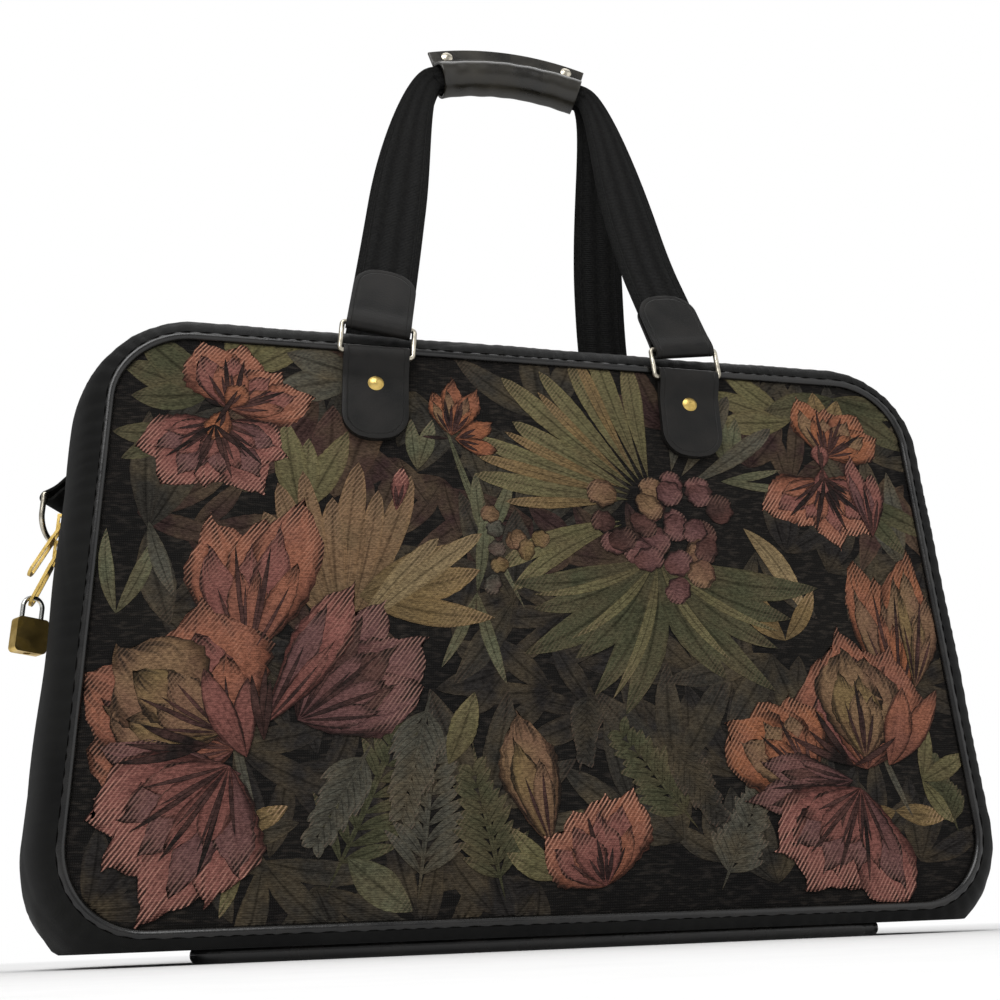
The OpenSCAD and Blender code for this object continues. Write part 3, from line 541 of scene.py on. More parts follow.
def across_at(u, width, kind):
    """Half width of a blade at a place along it."""
    if kind == "petal":
        return width / 2 * math.sin(math.pi * min(1.0, u) ** 1.5) ** 0.55 if 0 < u < 1 else 0.0
    if kind == "berry":
        return width / 2 * math.sqrt(max(0.0, 1 - (2 * u - 1) ** 2)) * (1 + 0.09 * math.cos(16 * u))
    if kind == "blade":
        return width / 2 * (math.sin(math.pi * u ** 1.6) ** 0.6 if 0 < u < 1 else 0.0)
    return width / 2 * math.sin(math.pi * u) ** 0.85


levels = {}
spine_steps, cell_size, first_lift, weft_thick = 64, 3, 0.03, 0.014


def woven(name, rows):
    """Every blade of a list, laid on the panel over the ones before it and joined to one piece."""
    blades = []
    for i, (x, z, turn, length, width, bend, hue, floats, kind) in enumerate(rows):
        ragged = 0.1 if kind == "petal" else 0.05
        laid = []
        spine = []
        for k in range(spine_steps + 1):
            a = math.radians(turn + bend * (k / spine_steps))
            if k:
                x, z = x + length / spine_steps * math.cos(a), z + length / spine_steps * math.sin(a)
            spine.append((x, z))
        for u, v in blank_grid:
            at = u * spine_steps
            k = min(spine_steps - 1, int(at))
            px = spine[k][0] + (spine[k + 1][0] - spine[k][0]) * (at - k)
            pz = spine[k][1] + (spine[k + 1][1] - spine[k][1]) * (at - k)
            a = math.radians(turn + bend * u)
            side = 2 * v - 1
            wave = 1 + ragged * math.sin(37 * u + 5 * i) * math.sin(23 * u + 11 * side + i)
            half = across_at(u, width, kind) * wave
            notch = 0.0
            if kind == "petal":
                lobes = 0.035 * math.sin(9 * side + 3 * i) + 0.03 * math.sin(21 * side + i)
                notch = length * u * u * (lobes - 0.10 * abs(side) ** 3)
            sx = px - math.sin(a) * half * side + math.cos(a) * notch
            sz = pz + math.cos(a) * half * side + math.sin(a) * notch
            sx, sz = inside_panel(sx, sz, 1.2)
            rim = min(1.0, 6 * min(v, 1 - v), 9 * min(u, 1 - u))
            laid.append((sx, sz, rim))
        cells = {(round(sx / cell_size), round(sz / cell_size)) for sx, sz, _ in laid}
        level = 1 + max(levels.get(cell, 0) for cell in cells)
        levels.update({cell: level for cell in cells})
        points = []
        for sx, sz, rim in laid:
            above = Vector((sx * mm, -0.2, (middle_z + sz) * mm))
            hit = panel_rays.ray_cast(above, Vector((0, 1, 0)))[0]
            y = hit.y if hit else panel_y * mm
            lift = first_lift + weft_thick * (level - 1 + rim)
            points.append((sx * mm, y - lift * mm, (middle_z + sz) * mm))
        blade = blank.copy()
        blade.data = blank.data.copy()
        bpy.context.scene.collection.objects.link(blade)
        blade.data.vertices.foreach_set("co", np.array(points).ravel())
        blade.data.uv_layers[0].data.foreach_set("uv", blank_grid[blank_corners].astype(np.float32).ravel())
        weft_hue = blade.data.attributes.new("weft_hue", "FLOAT_COLOR", "POINT")
        weft_hue.data.foreach_set("color", np.tile(dye(hues[hue]), len(points)).astype(np.float32))
        long_floats = blade.data.attributes.new("long_floats", "FLOAT", "POINT")
        long_floats.data.foreach_set("value", np.full(len(points), floats, dtype=np.float32))
        number = blade.data.attributes.new("blade_number", "FLOAT", "POINT")
        number.data.foreach_set("value", np.full(len(points), 3.7 * i % 97, dtype=np.float32))
        blades.append(blade)
    picked(*blades)
    bpy.ops.object.join()
    cloth = bpy.context.object
    cloth.name = name
    cloth.data.name = name
    bpy.ops.object.shade_smooth()
    return cloth


front_leaves = woven("woven_leaves_front", leaf_rows)
front_flowers = woven("woven_flowers_front", flower_rows)
bpy.data.objects.remove(blank)


def sum_of(tree, source, output, times, plus):
    """One value scaled and shifted."""
    step = node_in(tree, "Math", {1: times, 2: plus}, operation="MULTIPLY_ADD")
    thread(tree, source, output, step, 0)
    return step


def combined(tree, how, first, second):
    """Two values, each a (node, output) pair or a number, combined and kept between 0 and 1."""
    step = node_in(tree, "Math", operation=how, use_clamp=True)
    for value, socket in ((first, 0), (second, 1)):
        if isinstance(value, tuple):
            thread(tree, value[0], value[1], step, socket)
        else:
            step.inputs[socket].default_value = value
    return step


def grey(level):
    return (level, level, level, 1.0)


def woven_finish(name, vein, root_dark, blush, sink):
    """Coloured wefts: each blade's hue runs dark from its root in streaks, with slanting floats at the tip."""
    material, tree, surface = finish_named(name, dye("806050"), 0.95, 0.06)
    hue, floats, number = (node_in(tree, "Attribute", attribute_name=kept)
                           for kept in ("weft_hue", "long_floats", "blade_number"))
    split = fed(tree, "UV", "SeparateXYZ")
    streak_map = fed(tree, "UV", "Mapping", {"Scale": (2.2, 13.0, 1.0)})
    streaks = fed(tree, streak_map, "TexNoise", {"Scale": 1.0, "Detail": 3.0, "Roughness": 0.65},
                   noise_dimensions="4D")
    thread(tree, number, "Fac", streaks, "W")
    clouds = noise(tree, "Object", 48.0, 3.0)
    from_root = sum_of(tree, split, "X", -1.15, 0.62)
    from_streak = sum_of(tree, streaks, "Fac", -2.6, 1.3)
    both = combined(tree, "ADD", (from_root, 0), (from_streak, 0))
    darkness = combined(tree, "MULTIPLY", (both, 0), root_dark)
    deep = mixed(tree, "MULTIPLY", 1.0, (hue, "Color"), (0.2, 0.17, 0.18, 1))
    rooted = mixed(tree, "MIX", (darkness, 0), (hue, "Color"), (deep, 2))
    cloudy = steps_between(tree, clouds, "Fac", 0.42, 0.66, grey(0.0), grey(0.45))
    blushed = mixed(tree, "MIX", (cloudy, "Color"), (rooted, 2), blush)
    kept = mixed(tree, "MULTIPLY", 0.55, (blushed, 2), (rooted, 2))
    toned = mixed(tree, "MIX", 0.62, (kept, 2), (blushed, 2))
    middle = sum_of(tree, split, "Y", 1.0, -0.5)
    from_middle = node_in(tree, "Math", operation="ABSOLUTE")
    thread(tree, middle, 0, from_middle, 0)
    rib = steps_between(tree, from_middle, 0, 0.015, 0.08, grey(1 - vein), grey(1.0))
    ribbed = mixed(tree, "MULTIPLY", 1.0, (toned, 2), (rib, "Color"))
    rim_shift = combined(tree, "ADD", (from_middle, 0), (sum_of(tree, streaks, "Fac", 0.22, -0.11), 0))
    if vein:
        rim = steps_between(tree, rim_shift, 0, 0.33, 0.47, grey(1.0), (1.55, 1.5, 1.4, 1))
    else:
        rim = steps_between(tree, rim_shift, 0, 0.36, 0.52, grey(1.0), (0.4, 0.36, 0.36, 1))
    rimmed = mixed(tree, "MULTIPLY", 1.0, (ribbed, 2), (rim, "Color"))
    near_side = sum_of(tree, from_middle, 0, 6.4, -1.95)
    near_tip = sum_of(tree, split, "X", 6.0, -4.5)
    near_rim = node_in(tree, "Math", operation="MAXIMUM")
    thread(tree, near_side, 0, near_rim, 0)
    thread(tree, near_tip, 0, near_rim, 1)
    torn = combined(tree, "ADD", (near_rim, 0), (sum_of(tree, streaks, "Fac", 4.2, -2.4), 0))
    sunk = combined(tree, "MULTIPLY", (torn, 0), sink)
    rimmed = mixed(tree, "MIX", (sunk, 0), (rimmed, 2), dye("191716"))
    fine_map = fed(tree, "Object", "Mapping", {"Scale": (0.45, 1.0, 1.0)})
    fine = noise(tree, fine_map, 1000.0, 2.0)
    speck = steps_between(tree, fine, "Fac", 0.34, 0.66, (0.55, 0.53, 0.52, 1), (1.3, 1.28, 1.24, 1))
    specked = mixed(tree, "MULTIPLY", 0.85, (rimmed, 2), (speck, "Color"))
    slant = fed(tree, "Object", "Mapping", {"Rotation": (0.0, math.radians(-36), 0.0)})
    lines = bands(tree, slant, "X", 168.0, 1.0, 1.0)
    bright = steps_between(tree, lines, "Fac", 0.5, 0.85, grey(0.0), grey(1.0))
    tipward = sum_of(tree, split, "X", 2.4, -1.35)
    tip_reach = combined(tree, "ADD", (tipward, 0), (sum_of(tree, streaks, "Fac", 2.4, -1.2), 0))
    on_tips = combined(tree, "MULTIPLY", (bright, "Color"), (tip_reach, 0))
    shown = combined(tree, "MULTIPLY", (on_tips, 0), (floats, "Fac"))
    dimmed = combined(tree, "MULTIPLY", (shown, 0), 0.95)
    pale = mixed(tree, "ADD", 1.0, (hue, "Color"), dye("7d6152"))
    floated = mixed(tree, "MIX", (dimmed, 0), (specked, 2), (pale, 2))
    thread(tree, floated, 2, surface, "Base Color")
    weave = bands(tree, "Object", "Z", 300.0, 1.5, 1.0)
    relief = mixed(tree, "ADD", 0.6, (weave, "Color"), (shown, 0))
    raised(tree, surface, relief, 2, 0.4, 0.0006)
    return material


leaf_weft = woven_finish("leaf_wefts", 0.45, 0.75, dye("5e5340"), 0.55)
petal_weft = woven_finish("petal_wefts", 0.0, 0.95, dye("6b4a44"), 0.9)
for cloth, weft in ((front_leaves, leaf_weft), (front_flowers, petal_weft)):
    cloth.data.materials.clear()
    cloth.data.materials.append(weft)
back_leaves = copied(front_leaves, "woven_leaves_back", (1, -1, 1))
back_flowers = copied(front_flowers, "woven_flowers_back", (1, -1, 1))
for cloth, node in ((front_leaves, "tapestry_leaves"), (back_leaves, "tapestry_leaves"),
                    (front_flowers, "tapestry_flowers"), (back_flowers, "tapestry_flowers")):
    dressed(cloth, node)

# Piping: a cord in a strip of black vinyl, caught in the seam round the front panel and
# round the back one. Its tone and gloss vary a little in patches.
rim_low, rim_high, rim_side, rim_round = 13.5, 327.5, 240.0, 42.0
flat_run, side_run, low_turn_z, high_turn_z = 198.0, 230.0, 55.5, 285.5
piping_thick = 2.5
arc = rim_round * math.pi / 2
rim_runs = (flat_run, arc, side_run, arc, 2 * flat_run, arc, side_run, arc, flat_run)
rim_length = sum(rim_runs)


def rim_at(s):
    """Point and outward direction on the piping line, s mm from the bottom middle, going up the right side."""
    s = s % rim_length
    for i, run in enumerate(rim_runs):
        if s <= run or i == 8:
            break
        s -= run
    if i in (0, 8):
        x = s if i == 0 else s - flat_run
        return (x, rim_low, 0.0, -1.0)
    if i == 2:
        return (rim_side, low_turn_z + s, 1.0, 0.0)
    if i == 4:
        return (flat_run - s, rim_high, 0.0, 1.0)
    if i == 6:
        return (-rim_side, high_turn_z - s, -1.0, 0.0)
    a = s / rim_round + {1: -math.pi / 2, 3: 0.0, 5: math.pi / 2, 7: math.pi}[i]
    cx = flat_run if i in (1, 3) else -flat_run
    cz = low_turn_z if i in (1, 7) else high_turn_z
    return (cx + rim_round * math.cos(a), cz + rim_round * math.sin(a), math.cos(a), math.sin(a))


def piping_spot(u, v):
    x, z, nx, nz = rim_at(u * rim_length)
    a = 2 * math.pi * v
    r = piping_thick + 0.07 * math.sin(u * 173) * math.sin(u * 71 + 2)
    out = r * math.cos(a)
    return x + nx * out, panel_y - r * math.sin(a), z + nz * out


front_piping = closed_up(sewn_sheet("front_piping_cord", 420, 14, piping_spot, (rim_length * mm, 0.0157)))
smoothed(front_piping, 60)
vinyl, tree, surface = finish_named("piping_vinyl", dye("0d0d0d"), 0.3, 0.5)
pores = noise(tree, "Object", 420.0, 4.0)
wrinkles = noise(tree, "Object", 60.0, 3.0)
tinted(tree, surface, "Base Color", wrinkles, "Fac", 0.35, 0.75, dye("0a0a0a"), dye("191715"))
tinted(tree, surface, "Roughness", wrinkles, "Fac", 0.3, 0.75, grey(0.2), grey(0.34))
raised(tree, surface, pores, "Fac", 0.2, 0.0004)
front_piping.data.materials.append(vinyl)
back_piping = copied(front_piping, "back_piping_cord", (1, -1, 1))
for cord, node in ((front_piping, "front_piping"), (back_piping, "back_piping")):
    dressed(cord, node)

# Gusset: two bands of black satin-faced cloth that bulge over the top and down both sides,
# the zip between them, and one wide band under the base, pressed flat where the bag stands.
bulge, half_deep, zip_y, gap_half = 24.0, 65.0, -8.0, 11.0
base_seam_z, base_z, seam_rise, band_thick, uv_per_turn = 64.0, 8.55, 1.4, 2.2, 50


def gusset_spot(s, t, off=0.0, ripple=1.0):
    """A point of the bulged band: s along the piping line, t from 0 at the front seam to pi at the back."""
    x, z, nx, nz = rim_at(s)
    nb, ny = half_deep * math.sin(t), -bulge * math.cos(t)
    n = math.hypot(nb, ny)
    seam = min(1 + math.cos(t), 1 - math.cos(t)) * half_deep
    pucker = 0.55 * math.sin(s * 0.71 + 2 * math.sin(s * 0.083)) * math.exp(-seam / 7)
    fold = 0.8 * math.sin(s / 19 + 3 * t) * math.sin(s / 47 + 1.3 - 2 * t) * math.sin(t)
    at_corner = abs(nx * nz) * 2
    crumple = -1.3 * at_corner * abs(math.sin(s / 6.1 + 2.2 * math.sin(3 * t))) * math.sin(t) ** 2
    top = max(0.0, nz)
    crease = -1.5 * math.exp(-((math.sin(s / 53 + 1.7 * t) / 0.11) ** 2)) * math.sin(t) * (0.35 + 0.65 * top)
    sag = -1.6 * top * math.sin(t) ** 2 * (0.6 + 0.4 * math.sin(x / 60))
    out = off + ripple * (pucker + fold + crumple + crease + sag)
    b = bulge * math.sin(t) + out * nb / n
    return x + nx * b, -half_deep * math.cos(t) + out * ny / n, z + nz * b


def turn_at(y):
    return math.acos(-y / half_deep)


side_low = flat_run + arc + (base_seam_z - low_turn_z)
side_high = rim_length - side_low
seam_turn = math.asin(seam_rise / bulge)


def gusset_band(name, s0, s1, t0, t1, along, across, place=gusset_spot):
    band = sewn_sheet(name, along, across, lambda u, v: place(s0 + (s1 - s0) * u, t0 + (t1 - t0) * v),
                      ((s1 - s0) * mm, (t1 - t0) * uv_per_turn * mm))
    settled(band, "SOLIDIFY", thickness=band_thick * mm, offset=1 if t1 < t0 else -1)
    return smoothed(band, 55)


def base_spot(s, t):
    x, y, z = gusset_spot(s, t, 0.0, 0.8)
    return x, y, max(base_z, z)


front_gusset = gusset_band("front_gusset_cloth", side_low, side_high, turn_at(zip_y - gap_half), seam_turn,
                           360, 20)
back_gusset = gusset_band("back_gusset_cloth", side_low, side_high, math.pi - seam_turn,
                          turn_at(zip_y + gap_half), 360, 22)
base_gusset = gusset_band("base_gusset_cloth", side_high, rim_length + side_low, math.pi - seam_turn, seam_turn,
                          260, 40, base_spot)
satin, tree, surface = finish_named("gusset_satin", dye("121212"), 0.6, 0.1)
twill_map = fed(tree, "UV", "Mapping", {"Rotation": (0.0, 0.0, math.radians(35))})
twill = bands(tree, twill_map, "X", 420.0, 0.8, 1.0)
rubbed = noise(tree, "Object", 18.0, 4.0)
tinted(tree, surface, "Base Color", rubbed, "Fac", 0.35, 0.72, dye("0b0b0b"), dye("171716"))
tinted(tree, surface, "Roughness", rubbed, "Fac", 0.3, 0.8, grey(0.5), grey(0.7))
creased = noise(tree, "Object", 46.0, 3.0)
relief = mixed(tree, "ADD", 0.25, (creased, "Color"), (twill, "Color"))
raised(tree, surface, relief, 2, 0.35, 0.002)
for band, node, flat, sewn_to in (
        (front_gusset, "front_gusset", (0.054, 1.03), ["front_panel", "zip_tape_front"]),
        (back_gusset, "back_gusset", (0.07, 1.035), ["back_panel", "zip_tape_back"]),
        (base_gusset, "base_gusset", (0.14, 0.6), ["front_panel", "back_panel"])):
    band.data.materials.append(satin)
    dressed(band, node)

# Base pad: a long foam pad covered like the piping, its edge rolled over a cord, bar-tacked
# to the base at its four corners. The stiffening board lies inside, over the base cloth.
pad_wide, pad_deep, pad_high, pad_round, pad_roll = 360.0, 118.0, 8.5, 16.0, 4.1
pad_edge, tack_x, tack_half, tack_deep = 52, 168, 2.5, 0.8
bpy.ops.object.select_all(action="DESELECT")
bpy.ops.mesh.primitive_cube_add(size=1, location=(0, 0, pad_high / 2 * mm),
                                scale=(pad_wide * mm, pad_deep * mm, pad_high * mm))
base_pad = bpy.context.object
base_pad.name = "base_pad_cloth"
bpy.ops.object.transform_apply(location=True, rotation=True, scale=True)


def edges_where(piece, test):
    """Selects the edges whose two ends both pass the test, in edit mode."""
    picked(piece)
    bpy.ops.object.mode_set(mode="EDIT")
    bpy.ops.mesh.select_mode(type="EDGE")
    bpy.ops.mesh.select_all(action="DESELECT")
    bpy.ops.object.mode_set(mode="OBJECT")
    points = piece.data.vertices
    for edge in piece.data.edges:
        a, b = (points[i].co / mm for i in edge.vertices)
        edge.select = bool(test(a, b))
    bpy.ops.object.mode_set(mode="EDIT")


edges_where(base_pad, lambda a, b: abs(a.z - b.z) > 4)
bpy.ops.mesh.bevel(offset=pad_round * mm, segments=8, affect="EDGES")
bpy.ops.object.mode_set(mode="OBJECT")
edges_where(base_pad, lambda a, b: abs(a.z - b.z) < 0.1)
bpy.ops.mesh.bevel(offset=pad_roll * mm, segments=6, affect="EDGES")
bpy.ops.mesh.select_all(action="SELECT")
bpy.ops.mesh.subdivide(number_cuts=2)
bpy.ops.object.mode_set(mode="OBJECT")
for point in base_pad.data.vertices:
    x, y, z = point.co / mm
    if abs(y) > pad_edge and 1.5 < z < 7.5:
        point.co.y += math.copysign(0.35 * math.sin(x / 8.5) * math.sin(x / 23 + 1), y) * mm
    if abs(y) > pad_edge and abs(abs(x) - tack_x) < tack_half:
        point.co.y -= math.copysign(tack_deep, y) * mm
settled(base_pad, "SUBSURF", levels=1, render_levels=1)
smoothed(base_pad, 60)
base_pad.data.materials.append(vinyl)
dressed(base_pad, "base_pad")
board, tree, surface = finish_named("stiffening_board", dye("4a4138"), 0.8, 0.3)
pulp = noise(tree, "Object", 90.0, 5.0)
tinted(tree, surface, "Base Color", pulp, "Fac", 0.3, 0.7, dye("3f372f"), dye("574c41"))
raised(tree, surface, pulp, "Fac", 0.2, 0.0005)


def refinished(node, material):
    """A CAD node keeps its shape and takes a new finish."""
    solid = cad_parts[node]
    solid.data.materials.clear()
    solid.data.materials.append(material)
    return solid


refinished("base_board", board)

# Zip: two woven tapes sewn under the gusset's edges, moulded black teeth between them, and
# a stitched cloth patch over each end.
tape_end_z, tape_thick, patch_low, patch_high = 58, 1.1, 52, 70
tape_low = flat_run + arc + (tape_end_z - low_turn_z)
tape_run = rim_length - 2 * tape_low
tape_near, tape_far, tape_sunk, patch_half = 3.0, 15.0, -3.1, 13.0


def tape_band(name, y0, y1):
    def tape_spot(u, v):
        return gusset_spot(tape_low + tape_run * u, turn_at(y1 + (y0 - y1) * v), tape_sunk, 0.0)

    band = sewn_sheet(name, 260, 8, tape_spot, (tape_run * mm, (y1 - y0) * mm))
    settled(band, "SOLIDIFY", thickness=tape_thick * mm, offset=0)
    return smoothed(band, 50)


tape_front = tape_band("zip_tape_front_cloth", zip_y - tape_far, zip_y - tape_near)
tape_back = tape_band("zip_tape_back_cloth", zip_y + tape_near, zip_y + tape_far)
tape_cloth, tree, surface = finish_named("zip_tape_cloth", dye("0f0f0f"), 0.85, 0.1)
ribs = bands(tree, "UV", "Y", 260.0, 0.4)
picks = bands(tree, "UV", "X", 380.0, 0.6)
herring = mixed(tree, "MULTIPLY", 1.0, (ribs, "Color"), (picks, "Color"))
tinted(tree, surface, "Base Color", herring, 2, 0.0, 1.0, dye("0a0a0a"), dye("1a1a1a"))
raised(tree, surface, herring, 2, 0.5, 0.0006)
for band, node in ((tape_front, "zip_tape_front"), (tape_back, "zip_tape_back")):
    band.data.materials.append(tape_cloth)
    dressed(band, node)
patches = []
for side in (1, -1):
    def patch_spot(u, v):
        z = patch_low + (patch_high - patch_low) * u
        t = turn_at(zip_y - patch_half + 2 * patch_half * v)
        puff = 0.9 * min(1.0, 7 * min(u, 1 - u), 9 * min(v, 1 - v)) ** 0.5
        x, y, _ = gusset_spot(300, t, 0.3 + puff, 0.0)
        return side * x, y, z
    patches.append(sewn_sheet("zip_end_patch", 18, 24, patch_spot, (0.018, 0.026)))
    if side > 0:
        patches[0].data.flip_normals()
picked(*patches)
bpy.ops.object.join()
end_patches = bpy.context.object
end_patches.name = "zip_end_patches_cloth"
smoothed(end_patches, 60)
end_patches.data.materials.append(satin)
dressed(end_patches, "zip_end_patches")
moulded, tree, surface = finish_named("moulded_teeth", dye("1a1918"), 0.42, 0.45)
scuffs = noise(tree, "Object", 320.0, 3.0)
tinted(tree, surface, "Base Color", scuffs, "Fac", 0.35, 0.75, dye("141312"), dye("2c2a27"))
raised(tree, surface, scuffs, "Fac", 0.15, 0.0003)
refinished("zip_teeth", moulded)

# Zip sliders, pulls and padlock: die-cast and stamped pieces with a bright brass plate,
# tarnished in patches, and a polished steel shackle through the lower pull's slot.


def metal_named(name, colour, tarnish, roughness):
    """Plated metal: tarnish in patches, fine scratches across the polish."""
    material, tree, surface = finish_named(name, colour, roughness)
    surface.inputs["Metallic"].default_value = 1.0
    clouds = noise(tree, "Object", 160.0, 4.0)
    scratch_map = fed(tree, "Object", "Mapping", {"Scale": (1.0, 1.0, 0.08), "Rotation": (0.3, 0.2, 0.5)})
    scratches = noise(tree, scratch_map, 2600.0, 2.0)
    tinted(tree, surface, "Base Color", clouds, "Fac", 0.3, 0.6, tarnish, colour)
    tinted(tree, surface, "Roughness", clouds, "Fac", 0.3, 0.7, grey(roughness + 0.16), grey(roughness - 0.04))
    raised(tree, surface, scratches, "Fac", 0.06, 0.0002)
    return material


brass = metal_named("brass_plate", dye("d8ba70"), dye("a88c48"), 0.34)
steel = metal_named("shackle_steel", dye("d8d8d4"), dye("9d9d99"), 0.2)
for node in ("zip_slider_upper", "zip_slider_lower", "zip_pull_upper", "zip_pull_lower", "padlock_body"):
    refinished(node, brass)
refinished("padlock_shackle", steel)

# Side loops: a short length of webbing doubled round the D-ring's bar and sewn flat to the
# gusset, one on each side for a shoulder strap. The rings are bent nickel-plated wire.
loop_line = ((-262.9, 284.0), (-263.3, 279.5), (-265.2, 276.2), (-268.6, 270.2), (-272.2, 264.0),
             (-275.5, 261.3), (-278.2, 260.2), (-279.4, 257.6), (-278.4, 255.2), (-276.0, 254.5),
             (-273.4, 256.0), (-270.6, 260.6), (-267.2, 266.2), (-264.6, 270.0), (-263.2, 268.6),
             (-262.8, 266.6))
bar_x, bar_y, bar_turn, loop_wide, loop_thick = -276, 26, math.radians(25), 25, 1.7
turned_from, squared_from = 263.0, 268.0


def along_line(line, u):
    """A point on a polyline, smoothed between its corners."""
    at = u * (len(line) - 1)
    k = min(len(line) - 2, int(at))
    f = at - k
    p0, p1, p2, p3 = (line[max(0, min(len(line) - 1, k + d))] for d in (-1, 0, 1, 2))
    return [0.5 * (2 * b + (c - a) * f + (2 * a - 5 * b + 4 * c - d) * f * f + (3 * b - a - 3 * c + d) * f ** 3)
            for a, b, c, d in zip(p0, p1, p2, p3)]


def side_loop_spot(u, v):
    """The loop turns as it leaves the gusset, and lies square on the ring's bar."""
    x, z = along_line(loop_line, u)
    turn = bar_turn * max(0.0, min(1.0, (-x - turned_from) / 13))
    across = (v - 0.5) * loop_wide
    square_on = -math.tan(turn) * (x - bar_x) * max(0.0, min(1.0, (-x - squared_from) / 5))
    return x + math.sin(turn) * across, bar_y + math.cos(turn) * across + square_on, z


loop_left = sewn_sheet("side_loop_left_webbing", 64, 12, side_loop_spot, (0.066, 0.025))
settled(loop_left, "SOLIDIFY", thickness=loop_thick * mm, offset=0)
smoothed(loop_left, 50)
webbing, tree, surface = finish_named("ribbed_webbing", dye("101010"), 0.9, 0.08)
ribs = bands(tree, "UV", "Y", 165.0, 0.3)
picks = bands(tree, "UV", "X", 240.0, 0.6)
weave = mixed(tree, "MULTIPLY", 0.8, (ribs, "Color"), (picks, "Color"))
fuzz = noise(tree, "Object", 700.0, 2.0)
cast = steps_between(tree, fuzz, "Fac", 0.35, 0.75, dye("0a0a0a"), dye("1a1a19"))
ribbed = mixed(tree, "ADD", 0.008, (cast, "Color"), (weave, 2))
thread(tree, ribbed, 2, surface, "Base Color")
raised(tree, surface, weave, 2, 0.6, 0.0008)
loop_left.data.materials.append(webbing)
loop_right = copied(loop_left, "side_loop_right_webbing", (-1, 1, 1))
for loop, node in ((loop_left, "side_loop_left"), (loop_right, "side_loop_right")):
    dressed(loop, node)
nickel = metal_named("ring_nickel", dye("cfc8b8"), dye("8f897b"), 0.24)
for node in ("d_ring_left", "d_ring_right"):
    refinished(node, nickel)

# Lower tabs: black leather folded round a rectangular ring and riveted through the panel,
# with a creased line inside the edge.
tab_half, tab_round, leather_thick = 19.0, 16.0, 1.9


def tab_half_at(far):
    """Half the tab's width at a distance from its rounded end."""
    if far >= tab_round:
        return tab_half
    return tab_half - tab_round + math.sqrt(max(0.0, tab_round ** 2 - (tab_round - max(0.0, far)) ** 2))


def line_lengths(line, count=200):
    spots = [along_line(line, k / count) for k in range(count + 1)]
    far = [0.0]
    for a, b in zip(spots, spots[1:]):
        far.append(far[-1] + math.dist(a, b))
    return spots, far


def even_spot(spots, far, s):
    """The point of a measured line at a distance s along it."""
    k = max(1, min(len(far) - 1, int(np.searchsorted(far, s))))
    f = (s - far[k - 1]) / max(1e-9, far[k] - far[k - 1])
    return [a + (b - a) * f for a, b in zip(spots[k - 1], spots[k])]


def leather_tab(name, line, put):
    """A strip folded along a line of (depth, height) points, both of its ends rounded."""
    spots, far = line_lengths(line)
    total = far[-1]

    def tab_spot(u, v):
        s = total * u
        half = tab_half_at(min(s, total - s))
        y, z = even_spot(spots, far, s)
        return put((2 * v - 1) * half, y, z)

    tab = sewn_sheet(name, 96, 16, tab_spot, (total * mm, 2 * tab_half * mm))
    edge = tab.data.attributes.new("from_edge", "FLOAT", "POINT")
    reach = np.zeros(len(tab.data.vertices), dtype=np.float32)
    for corner, spot in zip(tab.data.loops, tab.data.uv_layers[0].data):
        s = spot.uv.x / mm
        end = min(s, total - s)
        x = abs(spot.uv.y / (tab_half * mm) - 1) * tab_half_at(end)
        if end < tab_round:
            beyond = max(0.0, x - tab_half + tab_round)
            reach[corner.vertex_index] = tab_round - math.hypot(beyond, tab_round - end)
        else:
            reach[corner.vertex_index] = tab_half - x
    edge.data.foreach_set("value", reach)
    settled(tab, "SOLIDIFY", thickness=leather_thick * mm, offset=0)
    settled(tab, "BEVEL", width=0.45 * mm, segments=2, limit_method="ANGLE", angle_limit=math.radians(50))
    return smoothed(tab, 45)


lower_line = ((-68.0, 268.5), (-68.0, 277.0), (-68.0, 286.0), (-68.0, 295.0), (-68.05, 302.0), (-68.6, 308.0),
              (-70.4, 313.0), (-72.3, 317.0), (-73.05, 320.5), (-72.9, 323.4), (-71.8, 325.2), (-70.4, 325.7),
              (-69.0, 325.2), (-67.9, 323.4), (-67.7, 320.5), (-67.3, 315.0), (-66.4, 309.0), (-66.05, 302.0),
              (-66.0, 292.0), (-66.0, 280.0), (-66.0, 268.5))
leather, tree, surface = finish_named("tab_leather", dye("121211"), 0.42, 0.2)
grain = fed(tree, "Object", "TexVoronoi", {"Scale": 900.0})
rub = noise(tree, "Object", 55.0, 4.0)
tinted(tree, surface, "Base Color", rub, "Fac", 0.35, 0.75, dye("0d0d0c"), dye("1d1b19"))
tinted(tree, surface, "Roughness", rub, "Fac", 0.3, 0.75, grey(0.36), grey(0.56))
from_edge = node_in(tree, "Attribute", attribute_name="from_edge")
inward = sum_of(tree, from_edge, "Fac", 0.2, 0.0)
outer_lip = steps_between(tree, inward, 0, 0.0, 1.0, grey(1.0), grey(1.0))
for position, level in ((0.50, 1.0), (0.58, 0.0), (0.66, 1.0)):
    outer_lip.color_ramp.elements.new(position).color = grey(level)
pressed = mixed(tree, "ADD", 0.12, (outer_lip, "Color"), (grain, "Distance"))
raised(tree, surface, pressed, 2, 0.55, 0.0008)
corners = {"front_left": (1, 1, 1), "front_right": (-1, 1, 1),
           "back_left": (1, -1, 1), "back_right": (-1, -1, 1)}


def at_corners(kind, first):
    """The front left tab, and its mirrored copies at the other three corners."""
    first.data.materials.append(leather)
    tabs = {corner: first if corner == "front_left" else copied(first, f"{kind}_{corner}_leather", mirror)
            for corner, mirror in corners.items()}
    for corner, tab in tabs.items():
        dressed(tab, f"{kind}_{corner}")


lower_left = leather_tab("lower_tab_front_left_leather", lower_line, lambda x, y, z: (x - tab_x, y, z))
at_corners("lower_tab", lower_left)
refinished("handle_rivets", brass)
for corner in corners:
    refinished("tab_ring_" + corner, nickel)

